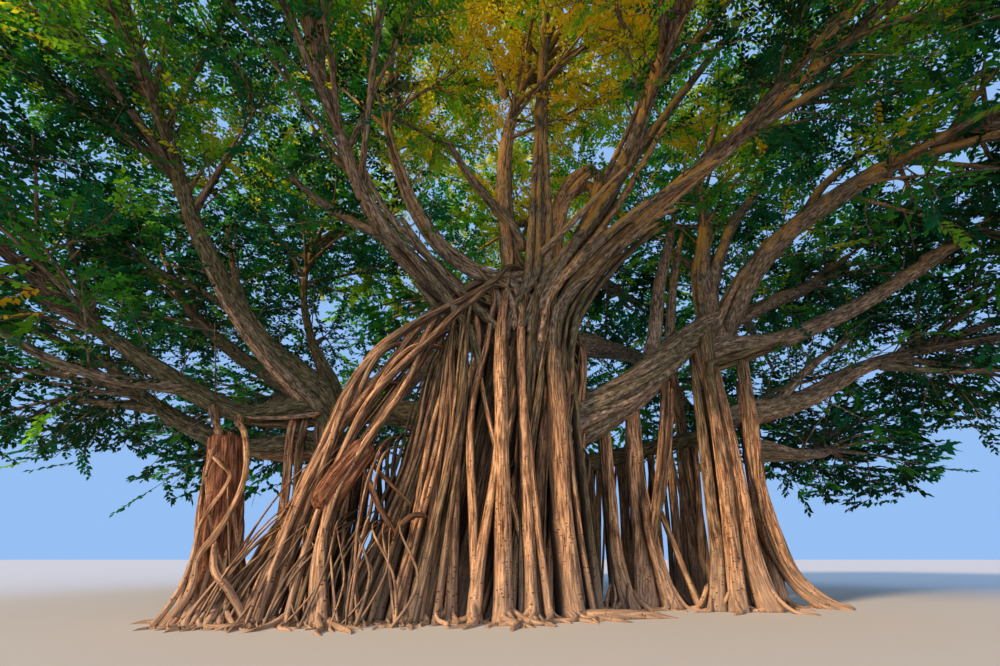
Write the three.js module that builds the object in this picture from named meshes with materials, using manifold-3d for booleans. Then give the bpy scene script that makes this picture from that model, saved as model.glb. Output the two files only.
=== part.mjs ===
// A grown banyan: a trunk of fused aerial roots, a fan of slanting roots, prop roots that carry a
// braided bough, long tapering boughs and an umbrella crown made of separate masses of foliage.
// The tree stands on the plane z = 0 with the origin under its trunk. +X is the tree's right as
// seen from the front, and the front faces -Y. Every size is in metres until a mesh is made.
import * as THREE from 'three';
import { mergeVertices } from 'three/addons/utils/BufferGeometryUtils.js';
import Module from 'manifold-3d';

const wasm = await Module();
wasm.setup();

const MM_PER_M = 1000;
const CLEARANCE = 0.0003;
const upward = new THREE.Vector3(0, 0, 1);
const FULL_TURN = 2 * Math.PI;
const GOLDEN_TURN = Math.PI * (3 - Math.sqrt(5));
const MERGE_DISTANCE = 1e-4;
const GROUND_BLOCK = { width: 60, depth: 4 };
const ROOT_START_DEPTH = -0.2;

// The trunk: a fluted core with root columns fused round it, and surface roots at its foot.
const TRUNK_CORE = {
  through: [[0, 0.2, -0.4], [0.15, 0.15, 3], [0.6, 0, 6.2], [1.05, -0.15, 8.6], [1.15, -0.2, 9.7]],
  radius: [1.95, 1.6, 1.4, 1.3, 0.5],
  sides: 14,
  steps: 5,
};
const TRUNK_COLUMNS = 11;
const COLUMN_RADIUS = [0.42, 0.24, 0.2];
const COLUMN_FOOT_RING = [2.25, 1.95];
const COLUMN_TOP_RING = [1.15, 1.0];
const COLUMN_TOP_CENTRE = [1.0, -0.1];
const COLUMN_TOP_HEIGHT = 8.1;
const COLUMN_WAIST = 0.45;
const COLUMN_HOLLOW = 0.12;
const COLUMN_TURN_SHIFT = 0.5;
const COLUMN_SIZE = { least: 0.85, spread: 0.5 };
const COLUMN_FOOT = { centre: [0, 0.1], height: -0.3 };
const SURFACE_ROOTS = 8;
const SURFACE_ROOT_REACH = [1.9, 3.4];
const SURFACE_ROOT_RADIUS = [0.3, 0.18, 0.05];
const SURFACE_ROOT_HEIGHTS = [0.25, 0.1, -0.02];
const SURFACE_ROOT_TURN_SHIFT = 0.6;
const SURFACE_ROOT_SHORTENING = 0.4;
const TRUNK_SEED = 7;

// The left shoulder: slanting roots side by side from the fork to the ground, and steep slender
// ones within it. Each sheet goes from its top line to its foot line, bowed outwards.
const FAN = {
  count: 8,
  top: [[-0.15, -1.25, 8.15], [-1.0, -1.1, 5.6]],
  foot: [[-5.5, -1.9, ROOT_START_DEPTH], [-2.3, -2.2, ROOT_START_DEPTH]],
  bow: 0.75,
  radius: [0.25, 0.13, 0.1],
  seed: 11,
};
const CURTAIN = {
  count: 7,
  top: [[-0.75, -0.9, 7.6], [-1.75, 0.3, 6.0]],
  foot: [[-1.75, -2.0, ROOT_START_DEPTH], [-3.5, 0.3, ROOT_START_DEPTH]],
  bow: 0,
  radius: [0.24, 0.11, 0.08],
  seed: 17,
};
const SHEET_BOW = { least: 0.7, spread: 0.6, rise: 0.5 };
const SHEET_SHIFT = { depth: 0.5, foot: [0.3, 0.6] };

// The dead trunk on the left, laced by live roots, and the dead log held by the fan.
const STUMP = {
  through: [[-5.55, -2, ROOT_START_DEPTH], [-5.95, -2, 1.6], [-6.45, -2, 3.75]],
  radius: [0.62, 0.44, 0.36],
  sides: 9,
  steps: 4,
};
const LACING_ROOTS = 3;
const LACING_RADIUS = [0.15, 0.07, 0.05];
const LACING_TURN = 1.6;
const LACING_PLACES = [0, 0.3, 0.6, 0.98];
const LACING_DISTANCE = { foot: 1.35, above: 0.98 };
const LACING_SEED = 31;
const LOG = {
  through: [[-4.25, -2.45, 1.75], [-3.7, -2.25, 2.55], [-2.95, -1.95, 3.75]],
  radius: [0.25, 0.31, 0.24],
  sides: 8,
  steps: 3,
};

// Pillars: groups of aerial roots that reached the ground. Each gives its name, its foot, its
// top, the spread of its strands at foot and top, their number, and their radius at foot and top.
const makePillar = (name, foot, top, spread, strands, radius) => (
  { name, foot, top, spread, strands, radius });
const PILLARS = [
  makePillar('left_trunk', [-4.6, 0.8], [-5.0, 0.5, 5.0], [0.6, 0.3], 3, [0.38, 0.3]),
  makePillar('prop_root_1', [5.85, 0], [6.45, 0.35, 7.7], [0.45, 0.2], 3, [0.3, 0.22]),
  makePillar('prop_root_2', [7.75, 0.75], [7.2, 0.5, 7.9], [0.2, 0.08], 2, [0.3, 0.2]),
  makePillar('prop_root_3', [3.9, 0.8], [4.0, 0.6, 5.5], [0.2, 0.12], 2, [0.3, 0.19]),
  makePillar('prop_root_4', [3.0, 0.2], [3.1, 0.25, 5.1], [0.16, 0.1], 2, [0.24, 0.13]),
  makePillar('prop_root_5', [5.0, 1.7], [5.0, 0.55, 6.4], [0.3, 0.1], 2, [0.22, 0.12]),
];
const FOOT_FLARE = 1.5;
const PILLAR_WAIST = 0.4;
const PILLAR_GATHER = 0.5;
const PILLAR_SEED = 50;

// The braided bough: strands wound round one line from the trunk up to the right-hand junction.
const BRAID_LINE = [[1.9, 0.1, 4.3], [4.1, 0.2, 5.65], [5.8, 0.4, 7.1], [7.4, 0.5, 8.2]];
const BRAID_TURNS = 1.1;
const BRAID_STRANDS = 3;
const BRAID_STRAND_RADIUS = [0.46, 0.4, 0.36, 0.24];
const BRAID_SPREAD = { start: 0.28, end: 0.168 };
const BRAID_PLACES = [0, 0.2, 0.4, 0.6, 0.8, 1];

// The boughs, in the order they are cut clear of each other. Each gives its name, its radius at
// the foot and at the tip, and the few points that it bends through.
const makeBough = (name, thick, thin, ...through) => ({ name, radius: [thick, thin], through });
const BOUGHS = [
  makeBough('left_link_bough', 0.5, 0.4, [-0.6, 0.3, 4.1], [-2.9, 0.5, 4.9], [-5.3, 0.5, 5.0]),
  makeBough('left_bough_1', 0.33, 0.17,
    [-5.2, 0.5, 3.9], [-7.3, 0.7, 3.95], [-10.2, 1, 5.0], [-12.9, 1.2, 6.7]),
  makeBough('left_bough_1_fork', 0.13, 0.07, [-10.6, 1, 5.2], [-12.2, 1.1, 5.4], [-14, 1.4, 5.7]),
  makeBough('left_bough_2', 0.36, 0.17,
    [-5.1, 0.3, 4.9], [-7.6, 0.2, 4.85], [-10.0, -0.6, 6.0], [-12.4, -1.5, 7.5]),
  makeBough('left_bough_3', 0.26, 0.13, [-5, 0.9, 4.9], [-7, 2, 5.9], [-8.6, 4, 6.7], [-9.6, 5.6, 7.2]),
  makeBough('left_bough_4', 0.3, 0.15,
    [-5, 0.6, 5.0], [-6.8, 0.6, 5.95], [-8.9, 0.8, 7.2], [-11.1, 1, 9.0]),
  makeBough('left_bough_5', 0.42, 0.2,
    [-5, 0.4, 5.0], [-7.2, -0.5, 6.9], [-8.5, -2.1, 9.0], [-9.3, -3.8, 11.4]),
  makeBough('left_bough_6', 0.2, 0.1,
    [-5, 0.9, 5.3], [-6.6, 1.4, 7.9], [-7.5, 1.8, 10.2], [-7.8, 2.2, 12.3]),
  makeBough('centre_bough_1', 0.58, 0.24,
    [0.3, -0.5, 6.6], [-1.4, -1.3, 7.9], [-3.3, -2.6, 9.4], [-4.5, -5.2, 11.8]),
  makeBough('centre_bough_2', 0.34, 0.18,
    [1, -0.7, 9.0], [-0.5, -1.65, 8.4], [-1.75, -2.2, 9.0], [-3.0, -3.3, 11.2], [-3.6, -3.4, 14.2]),
  makeBough('centre_bough_3', 0.36, 0.18,
    [0.6, -0.5, 8.6], [0.15, -1.3, 11.2], [0.2, -2.3, 13.4], [0.7, -2.8, 15.2]),
  makeBough('centre_bough_4', 0.38, 0.2,
    [1.2, -0.4, 8.8], [1.4, 0, 11.6], [1.6, 1.2, 13.4], [1.2, 3.0, 14.6]),
  makeBough('centre_bough_5', 0.5, 0.22,
    [1.6, -0.3, 8.2], [3.2, -0.8, 11.2], [4.3, -3.0, 12.9], [4.5, -6.0, 13.4]),
  makeBough('centre_bough_6', 0.42, 0.22,
    [1.6, -0.4, 8.0], [4.5, -1.6, 10.6], [6.6, -3.4, 11.7], [8.0, -4.9, 12.3]),
  makeBough('arched_bough', 0.3, 0.22,
    [1.5, -0.3, 9.2], [2.3, -0.9, 12.2], [3.05, -0.9, 12.8], [3.4, -1.1, 11.4]),
  makeBough('right_bough_1', 0.36, 0.2,
    [7.0, 0.5, 7.8], [7.0, 0.3, 9.8], [7.6, 0.4, 11.8], [8.0, 0.8, 13.2]),
  makeBough('right_bough_2', 0.48, 0.22,
    [7.3, 0.5, 7.6], [8.6, -0.6, 9.8], [10.0, -2.2, 10.7], [11.6, -4.0, 11.0]),
  makeBough('right_bough_3', 0.28, 0.16,
    [7.4, 0.6, 7.8], [9.1, 0.8, 8.8], [11.2, 1.3, 9.9], [12.8, 2.0, 11.0]),
  makeBough('right_bough_4', 0.36, 0.18,
    [6.4, 0.4, 6.5], [9.2, 0, 7.3], [11.3, -0.9, 8.1], [12.9, -2.0, 9.0]),
  makeBough('right_bough_5', 0.34, 0.17,
    [7.1, 0.8, 4.9], [8.9, 0.7, 5.3], [11.4, 0.5, 6.4], [13.6, 0.8, 7.1]),
  makeBough('right_bough_6', 0.2, 0.1,
    [7.4, 0.9, 3.9], [9.2, 1.6, 3.95], [11.4, 3.2, 4.4], [12.6, 5.0, 4.9]),
  makeBough('back_bough_1', 0.44, 0.2,
    [0.6, 0.3, 7.4], [-1.6, 3.4, 8.6], [-3.2, 6.2, 9.0], [-4.4, 8.6, 9.0]),
  makeBough('back_bough_2', 0.46, 0.2,
    [1.2, 0.5, 7.6], [1.5, 3.6, 8.5], [2.2, 6.8, 9.2], [2.7, 9.6, 9.2]),
  makeBough('back_bough_3', 0.4, 0.2, [1.6, 0.4, 7.2], [4.4, 3.4, 8.4], [6.8, 5.8, 8.8], [8.4, 7.8, 8.8]),
  makeBough('back_bough_4', 0.38, 0.2,
    [1.4, 0.4, 8.4], [3.4, 2.4, 10.8], [4.8, 4.4, 12.2], [5.8, 6.0, 13.0]),
  makeBough('back_bough_5', 0.36, 0.2,
    [0.7, 0.4, 8.6], [-0.8, 2.6, 10.6], [-2.4, 5.2, 12.2], [-3.4, 6.8, 13.0]),
];

// The foliage masses. Each gives its name, the bough whose tip its stem meets, its centre and the
// half sizes of the space that it keeps to.
const makeMass = (name, bough, centre, space) => ({ name, bough, centre, space });
const MASSES = [
  makeMass('foliage_left_low', 'left_bough_1', [-15.0, 1.8, 6.5], [3.2, 4.2, 3.0]),
  makeMass('foliage_left_front', 'left_bough_2', [-13.8, -4.0, 9.2], [4.2, 4.4, 3.2]),
  makeMass('foliage_left_back', 'left_bough_3', [-12.0, 8.0, 6.7], [4.4, 4.2, 3.6]),
  makeMass('foliage_left_mid', 'left_bough_4', [-12.6, 2.6, 11.0], [4.2, 4.8, 2.9]),
  makeMass('foliage_left_high', 'left_bough_5', [-9.4, -5.9, 13.1], [4.3, 4.5, 2.9]),
  makeMass('foliage_left_top', 'left_bough_6', [-7.4, 3.0, 14.2], [4.3, 4.8, 3.0]),
  makeMass('foliage_front_left', 'centre_bough_1', [-4.0, -8.8, 13.9], [4.2, 4.2, 2.9]),
  makeMass('foliage_top_left', 'centre_bough_2', [-3.3, -2.4, 16.3], [4.1, 4.4, 2.6]),
  makeMass('foliage_top_front', 'centre_bough_3', [2.8, -4.1, 16.5], [4.2, 4.4, 2.6]),
  makeMass('foliage_top_back', 'centre_bough_4', [0.8, 4.6, 16.0], [4.8, 4.6, 2.9]),
  makeMass('foliage_front_right', 'centre_bough_5', [3.6, -9.6, 13.4], [4.4, 4.2, 2.8]),
  makeMass('foliage_right_high', 'centre_bough_6', [9.6, -7.2, 12.8], [4.3, 4.5, 3.0]),
  makeMass('foliage_right_top', 'right_bough_1', [8.4, 1.0, 15.0], [4.4, 5.0, 2.8]),
  makeMass('foliage_right_front', 'right_bough_2', [13.4, -5.6, 10.0], [4.0, 4.2, 3.2]),
  makeMass('foliage_right_mid', 'right_bough_3', [14.0, 2.8, 11.4], [4.0, 4.6, 2.9]),
  makeMass('foliage_right_side', 'right_bough_5', [15.6, 0.0, 7.2], [3.2, 4.0, 3.2]),
  makeMass('foliage_right_low', 'right_bough_6', [14.6, 6.8, 5.9], [3.9, 4.0, 3.1]),
  makeMass('foliage_back_left', 'back_bough_1', [-5.4, 11.3, 8.4], [4.8, 4.0, 3.9]),
  makeMass('foliage_back', 'back_bough_2', [2.9, 12.3, 8.7], [4.6, 3.9, 3.9]),
  makeMass('foliage_back_right', 'back_bough_3', [10.0, 10.6, 8.6], [4.6, 4.2, 3.8]),
  makeMass('foliage_high_right', 'back_bough_4', [6.8, 8.0, 13.2], [4.8, 4.6, 3.0]),
  makeMass('foliage_high_left', 'back_bough_5', [-4.4, 8.6, 13.2], [4.8, 4.6, 3.0]),
];

// The rule by which a mass grows, and the sizes of its leaves, each of which stands for a spray.
const TWIGS_PER_MASS = 6;
const TWIG_RADIUS = 0.13;
const STEM_END_RADIUS = 0.24;
const TWIG_REACH = 0.62;
const FIRST_TWIG_PLACE = 0.4;
const TWIG_STEP = 0.1;
const TWIG_RISE = [0.9, -0.55];
const STEM_BEND = 0.35;
const TWIG_TURN_SHIFT = 0.5;
const MASS_SEED = 100;
const LEAF_SIZES = [1.15, 0.9, 0.7];
const LEAF_LENGTH = 2.5;
const LEAF_WIDTH = 1.7;
const LEAF_THICKNESS = 0.22;
const LEAF_SUNK = 0.02;
const LEAVES = [
  { place: 0.78, turn: 0.35 },
  { place: 0.62, turn: -0.7 },
  { place: 0.4, turn: 1.15 },
];

const BARK = { color: 0x8a7460, roughness: 0.9, metalness: 0 };
const ROOT_BARK = { color: 0xa8835c, roughness: 0.88, metalness: 0 };
const DEAD_WOOD = { color: 0x7c4a32, roughness: 0.95, metalness: 0 };
const LEAF_GREEN = { color: 0x3f6b24, roughness: 0.6, metalness: 0 };

// Small helpers: a seeded random number from 0 to 1, mixing of points, and values along a list.
function seeded(seed) {
  let state = seed;
  return () => {
    state = (state * 16807) % 2147483647;
    return state / 2147483647;
  };
}

function mixPoints(a, b, share) {
  return a.map((value, axis) => value + (b[axis] - value) * share);
}

function smoothLine(points) {
  return new THREE.CatmullRomCurve3(points.map((point) => new THREE.Vector3(...point)));
}

function along(values, t) {
  const place = Math.min(t, 1) * (values.length - 1);
  const index = Math.min(Math.floor(place), values.length - 2);
  return values[index] + (values[index + 1] - values[index]) * (place - index);
}

// A closed geometry becomes a solid once its shared vertices are merged.
function solidOf(geometry) {
  geometry.deleteAttribute('normal');
  geometry.deleteAttribute('uv');
  const merged = mergeVertices(geometry, MERGE_DISTANCE);
  const vertProperties = new Float32Array(merged.attributes.position.array);
  const triVerts = new Uint32Array(merged.index.array);
  return new wasm.Manifold(new wasm.Mesh({ numProp: 3, vertProperties, triVerts }));
}

function geometryOf(solid) {
  const { vertProperties, triVerts } = solid.getMesh();
  const geometry = new THREE.BufferGeometry();
  geometry.setAttribute('position', new THREE.BufferAttribute(new Float32Array(vertProperties), 3));
  geometry.setIndex(new THREE.BufferAttribute(new Uint32Array(triVerts), 1));
  return geometry;
}

function join(solids) {
  return solids.reduce((whole, solid) => whole.add(solid));
}

function clearOf(solid, others) {
  return !others || isEmpty(solid.intersect(others));
}

function isEmpty(solid) {
  return solid.getMesh().triVerts.length === 0;
}

// Six times the volume of the closed shell that the triangles bound.
function shellVolume(points, triangles) {
  let total = 0;
  const [a, b, c] = [new THREE.Vector3(), new THREE.Vector3(), new THREE.Vector3()];
  for (const [i, j, k] of triangles) {
    a.fromArray(points, 3 * i);
    b.fromArray(points, 3 * j);
    c.fromArray(points, 3 * k);
    total += a.dot(b.cross(c));
  }
  return total;
}

// Keeps the largest shell of a solid, which drops loose scraps and fills sealed hollows.
function largestPiece(solid) {
  const { vertProperties, triVerts } = solid.getMesh();
  const owner = Array.from({ length: vertProperties.length / 3 }, (_, index) => index);
  const find = (index) => {
    while (owner[index] !== index) {
      owner[index] = owner[owner[index]];
      index = owner[index];
    }
    return index;
  };
  const triangles = [];
  for (let corner = 0; corner < triVerts.length; corner += 3) {
    const triangle = [triVerts[corner], triVerts[corner + 1], triVerts[corner + 2]];
    triangles.push(triangle);
    owner[find(triangle[0])] = find(triangle[1]);
    owner[find(triangle[1])] = find(triangle[2]);
  }
  const shells = new Map();
  for (const triangle of triangles) {
    const key = find(triangle[0]);
    if (!shells.has(key)) shells.set(key, []);
    shells.get(key).push(triangle);
  }
  if (shells.size === 1) return solid;
  const volumeOf = (shell) => shellVolume(vertProperties, shell);
  const largest = [...shells.values()].sort((one, other) => volumeOf(other) - volumeOf(one))[0];
  const geometry = new THREE.BufferGeometry();
  geometry.setAttribute('position', new THREE.BufferAttribute(new Float32Array(vertProperties), 3));
  geometry.setIndex(largest.flat());
  return solidOf(geometry.toNonIndexed());
}

// A limb: a cylinder's rings carried along a smooth line through a few points, with the radius
// read from a short list. The grown copy is wider and longer by the clearance, for cutting. An
// upright limb has no level side of its own, so it takes +X.
const UPRIGHT_BELOW = 0.2;

function ringOverrun(t, grow) {
  if (t === 0) return -grow;
  return t === 1 ? grow : 0;
}

function sweep({ through, radius, sides = 6, steps = 5, facing = null }, grow = 0) {
  const line = smoothLine(through);
  const chord = line.getPoint(1).sub(line.getPoint(0)).normalize();
  const side = new THREE.Vector3(-chord.y, chord.x, 0);
  if (side.length() < UPRIGHT_BELOW) side.set(1, 0, 0);
  const rings = new THREE.CylinderGeometry(1, 1, 1, sides, steps);
  const places = rings.attributes.position;
  for (let index = 0; index < places.count; index += 1) {
    const t = places.getY(index) + 0.5;
    const tangent = t === 0 && facing ? facing.clone() : line.getTangentAt(t);
    const across = side.clone().addScaledVector(tangent, -side.dot(tangent)).normalize();
    const up = across.clone().cross(tangent);
    const reach = along(radius, t) + grow;
    const point = line.getPointAt(t)
      .addScaledVector(across, places.getX(index) * reach)
      .addScaledVector(up, places.getZ(index) * reach)
      .addScaledVector(tangent, ringOverrun(t, grow))
      .multiplyScalar(MM_PER_M);
    places.setXYZ(index, point.x, point.y, point.z);
  }
  return solidOf(rings);
}

function sweepAll(limbs, grow = 0) {
  return join(limbs.map((limb) => sweep(limb, grow)));
}

// Everything under the ground plane is cut off flat.
const belowGround = solidOf(new THREE.BoxGeometry(GROUND_BLOCK.width, GROUND_BLOCK.width, GROUND_BLOCK.depth)
  .translate(0, 0, -GROUND_BLOCK.depth / 2)
  .scale(MM_PER_M, MM_PER_M, MM_PER_M));

// Surface roots: short tapering fingers that leave the foot in all directions and sink away.
function surfaceRoots(random) {
  return Array.from({ length: SURFACE_ROOTS }, (_, index) => {
    const heading = (index + SURFACE_ROOT_TURN_SHIFT * random()) * FULL_TURN / SURFACE_ROOTS;
    const [inner, outer] = SURFACE_ROOT_REACH;
    const length = outer - SURFACE_ROOT_SHORTENING * (outer - inner) * random();
    const distances = [inner / 2, (inner + length) / 2, length];
    return {
      through: distances.map((distance, place) => [
        distance * Math.cos(heading), distance * Math.sin(heading), SURFACE_ROOT_HEIGHTS[place]]),
      radius: SURFACE_ROOT_RADIUS,
      sides: 5,
      steps: 2,
    };
  });
}

// The trunk's limbs: its core, the columns round it and the surface roots.
function trunkLimbs() {
  const random = seeded(TRUNK_SEED);
  const columns = Array.from({ length: TRUNK_COLUMNS }, (_, index) => {
    const turn = (index + COLUMN_TURN_SHIFT * random()) * FULL_TURN / TRUNK_COLUMNS;
    const size = COLUMN_SIZE.least + COLUMN_SIZE.spread * random();
    const ring = ([wide, deep], centre, height) => [
      centre[0] + wide * Math.cos(turn), centre[1] + deep * Math.sin(turn), height];
    const foot = ring(COLUMN_FOOT_RING, COLUMN_FOOT.centre, COLUMN_FOOT.height);
    const top = ring(COLUMN_TOP_RING, COLUMN_TOP_CENTRE, COLUMN_TOP_HEIGHT);
    const middle = mixPoints(foot, top, COLUMN_WAIST);
    middle[0] -= COLUMN_HOLLOW * Math.cos(turn);
    middle[1] -= COLUMN_HOLLOW * Math.sin(turn);
    return { through: [foot, middle, top], radius: COLUMN_RADIUS.map((value) => value * size), steps: 3 };
  });
  return [TRUNK_CORE, ...columns, ...surfaceRoots(random)];
}

// Roots laid side by side from a top line to a foot line, bowed outwards.
function rootSheet({ count, top, foot, bow, radius, seed }) {
  const random = seeded(seed);
  return Array.from({ length: count }, (_, index) => {
    const share = index / (count - 1);
    const high = mixPoints(top[0], top[1], share);
    const low = mixPoints(foot[0], foot[1], share);
    const middle = mixPoints(low, high, 0.5);
    middle[0] -= bow * (1 - share) * (SHEET_BOW.least + SHEET_BOW.spread * random());
    middle[1] += SHEET_SHIFT.depth * (random() - 0.5);
    middle[2] += bow * SHEET_BOW.rise;
    low[0] += SHEET_SHIFT.foot[0] * (random() - 0.5);
    low[1] += SHEET_SHIFT.foot[1] * (random() - 0.5);
    return { through: [low, middle, high], radius, sides: 5, steps: 3 };
  });
}

// Roots that wind up round the dead trunk from the ground to its broken top.
function lacingRoots() {
  const random = seeded(LACING_SEED);
  const trunkLine = smoothLine(STUMP.through);
  return Array.from({ length: LACING_ROOTS }, (_, index) => {
    const start = index * FULL_TURN / LACING_ROOTS + random();
    const handed = index % 2 === 0 ? 1 : -1;
    const through = LACING_PLACES.map((t) => {
      const heading = start + handed * LACING_TURN * t;
      const away = along(STUMP.radius, t) * (t === 0 ? LACING_DISTANCE.foot : LACING_DISTANCE.above);
      const point = trunkLine.getPointAt(t);
      return [point.x + away * Math.cos(heading), point.y + away * Math.sin(heading), point.z];
    });
    return { through, radius: LACING_RADIUS, sides: 5, steps: 4 };
  });
}

// A pillar's strands: thick and apart at the foot, gathered above it and close at the top.
function pillarLimbs({ foot, top, spread, strands, radius }, index) {
  const random = seeded(PILLAR_SEED + index);
  const [thick, thin] = radius;
  return Array.from({ length: strands }, (_, strand) => {
    const turn = strand * FULL_TURN / strands + random();
    const shift = (reach) => [reach * Math.cos(turn), reach * Math.sin(turn)];
    const [footX, footY] = shift(spread[0]);
    const [topX, topY] = shift(spread[1]);
    const low = [foot[0] + footX, foot[1] + footY, ROOT_START_DEPTH];
    const high = [top[0] + topX, top[1] + topY, top[2]];
    const middle = mixPoints(low, high, PILLAR_WAIST);
    middle[0] -= footX * PILLAR_GATHER;
    middle[1] -= footY * PILLAR_GATHER;
    return { through: [low, middle, high], radius: [thick * FOOT_FLARE, thick, thin, thin], steps: 3 };
  });
}

// The braided bough's strands, each of which winds round the line at its own turn.
function braidLimbs() {
  const line = smoothLine(BRAID_LINE);
  return Array.from({ length: BRAID_STRANDS }, (_, strand) => {
    const through = BRAID_PLACES.map((t) => {
      const turn = (strand / BRAID_STRANDS + BRAID_TURNS * t) * FULL_TURN;
      const point = line.getPointAt(t);
      const spread = along([BRAID_SPREAD.start, BRAID_SPREAD.end], t);
      return [point.x, point.y + spread * Math.cos(turn), point.z + spread * Math.sin(turn)];
    });
    return { through, radius: BRAID_STRAND_RADIUS, sides: 6, steps: 5 };
  });
}

// The woody nodes are cut clear of the ones before them in this order.
const woodGroups = [
  { name: 'trunk', limbs: trunkLimbs(), look: ROOT_BARK },
  { name: 'braided_bough', limbs: braidLimbs(), look: BARK },
  { name: 'left_stump', limbs: [STUMP, ...lacingRoots()], look: DEAD_WOOD },
  ...BOUGHS.map((bough) => ({ name: bough.name, limbs: [bough], look: BARK })),
  { name: 'left_root_fan', limbs: rootSheet(FAN), look: ROOT_BARK },
  { name: 'root_curtain', limbs: rootSheet(CURTAIN), look: ROOT_BARK },
  ...PILLARS.map((pillar, index) => (
    { name: pillar.name, limbs: pillarLimbs(pillar, index), look: ROOT_BARK })),
  { name: 'leaning_log', limbs: [LOG], look: DEAD_WOOD },
];

const tree = new THREE.Group();

function addMesh(name, solid, look) {
  const mesh = new THREE.Mesh(geometryOf(solid), new THREE.MeshStandardMaterial(look));
  mesh.name = name;
  tree.add(mesh);
}

let cutter = belowGround;
let wood = null;
for (const { name, limbs, look } of woodGroups) {
  const solid = largestPiece(sweepAll(limbs).subtract(cutter));
  cutter = cutter.add(sweepAll(limbs, CLEARANCE));
  wood = wood ? wood.add(solid) : solid;
  addMesh(name, solid, look);
}

// How far a point lies from a mass's centre, as a share of its space: 1 is the edge.
function spaceShare(mass, point) {
  const [x, y, z] = mass.centre.map((value, axis) => (point[axis] - value) / mass.space[axis]);
  return Math.hypot(x, y, z);
}

function keepsToSpace(mass, solid) {
  const { vertProperties } = solid.getMesh();
  for (let index = 0; index < vertProperties.length; index += 3) {
    const point = [0, 1, 2].map((axis) => vertProperties[index + axis] / MM_PER_M);
    const own = spaceShare(mass, point);
    if (own > 1 || MASSES.some((other) => spaceShare(other, point) < own)) return false;
  }
  return true;
}

// A twig: a three-sided cone from its root to its end.
function twigCone(root, end) {
  const length = root.distanceTo(end);
  const direction = end.clone().sub(root).normalize();
  const turned = new THREE.Quaternion().setFromUnitVectors(new THREE.Vector3(0, 1, 0), direction);
  const cone = new THREE.ConeGeometry(TWIG_RADIUS, length, 3)
    .translate(0, length / 2, 0)
    .applyQuaternion(turned)
    .translate(root.x, root.y, root.z)
    .scale(MM_PER_M, MM_PER_M, MM_PER_M);
  return solidOf(cone);
}

// A leaf: a stretched octahedron from its root along its direction, its blade nearly level.
function leafSolid(root, direction, size) {
  const across = new THREE.Vector3(-direction.y, direction.x, 0).normalize();
  const normal = direction.clone().cross(across);
  const half = [LEAF_LENGTH, LEAF_WIDTH, LEAF_THICKNESS].map((length) => length * size * MM_PER_M / 2);
  const middle = root.clone().addScaledVector(direction, LEAF_LENGTH * size / 2 - LEAF_SUNK);
  const placed = new THREE.Matrix4().makeBasis(
    direction.clone().multiplyScalar(half[0]),
    across.clone().multiplyScalar(half[1]),
    normal.clone().multiplyScalar(half[2]),
  ).setPosition(middle.multiplyScalar(MM_PER_M));
  return solidOf(new THREE.OctahedronGeometry(1).applyMatrix4(placed));
}

// A mass: one stem carries on from the bough's tip, twigs leave it by the golden turn, and each
// twig has a leaf at its end and leaves at its sides.
function growMass(mass, index, grown) {
  const random = seeded(MASS_SEED + index);
  const bough = BOUGHS.find(({ name }) => name === mass.bough);
  const line = smoothLine(bough.through);
  const facing = line.getTangentAt(1);
  const start = line.getPoint(1).addScaledVector(facing, CLEARANCE);
  const centre = new THREE.Vector3(...mass.centre);
  const bend = start.clone().addScaledVector(facing, start.distanceTo(centre) * STEM_BEND);
  const through = [start, bend, centre].map((point) => point.toArray());
  const stemLine = smoothLine(through);
  let solid = sweep({ through, radius: [bough.radius[1], STEM_END_RADIUS], sides: 5, steps: 2, facing });
  let leaves = null;
  for (let twig = 0; twig < TWIGS_PER_MASS; twig += 1) {
    const turn = twig * GOLDEN_TURN + TWIG_TURN_SHIFT * random();
    const rise = along(TWIG_RISE, (twig + 0.5) / TWIGS_PER_MASS);
    const flat = Math.sqrt(1 - rise * rise);
    const heading = [flat * Math.cos(turn), flat * Math.sin(turn), rise];
    const reach = mass.space.map((half, axis) => half * heading[axis] * TWIG_REACH);
    const end = centre.clone().add(new THREE.Vector3(...reach));
    const root = stemLine.getPointAt(FIRST_TWIG_PLACE + TWIG_STEP * twig);
    const outward = end.clone().sub(root).normalize();
    const twigSolid = twigCone(root, end);
    if (!isEmpty(twigSolid.intersect(grown))) continue;
    solid = solid.add(twigSolid);
    const handed = twig % 2 === 0 ? 1 : -1;
    for (const { place, turn: leafTurn } of LEAVES) {
      const direction = outward.clone().applyAxisAngle(upward, handed * leafTurn);
      const leaf = LEAF_SIZES
        .map((size) => leafSolid(root.clone().lerp(end, place), direction, size))
        .find((trial) => keepsToSpace(mass, trial) && clearOf(trial, grown) && clearOf(trial, leaves));
      if (!leaf) continue;
      solid = solid.add(leaf);
      leaves = leaves ? leaves.add(leaf) : leaf;
    }
  }
  return largestPiece(solid);
}

let grown = wood;
MASSES.forEach((mass, index) => {
  const solid = growMass(mass, index, grown);
  grown = grown.add(solid);
  addMesh(mass.name, solid, LEAF_GREEN);
});

export default tree;
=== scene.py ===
# %% [markdown]
# # A banyan, from its fused roots to its last leaf
#
# A banyan is a fig that props itself up. Thin roots drop from its boughs, reach the soil, thicken
# and fuse, until the trunk is a bundle of pillars. This lesson builds one such tree in Blender
# round solids that were modelled beforehand, so every length here is a real length in metres.
# We start by loading those solids. Their box is kept, because the finished tree may not outgrow it.

# %% Load the solids and keep their box
import math

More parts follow.
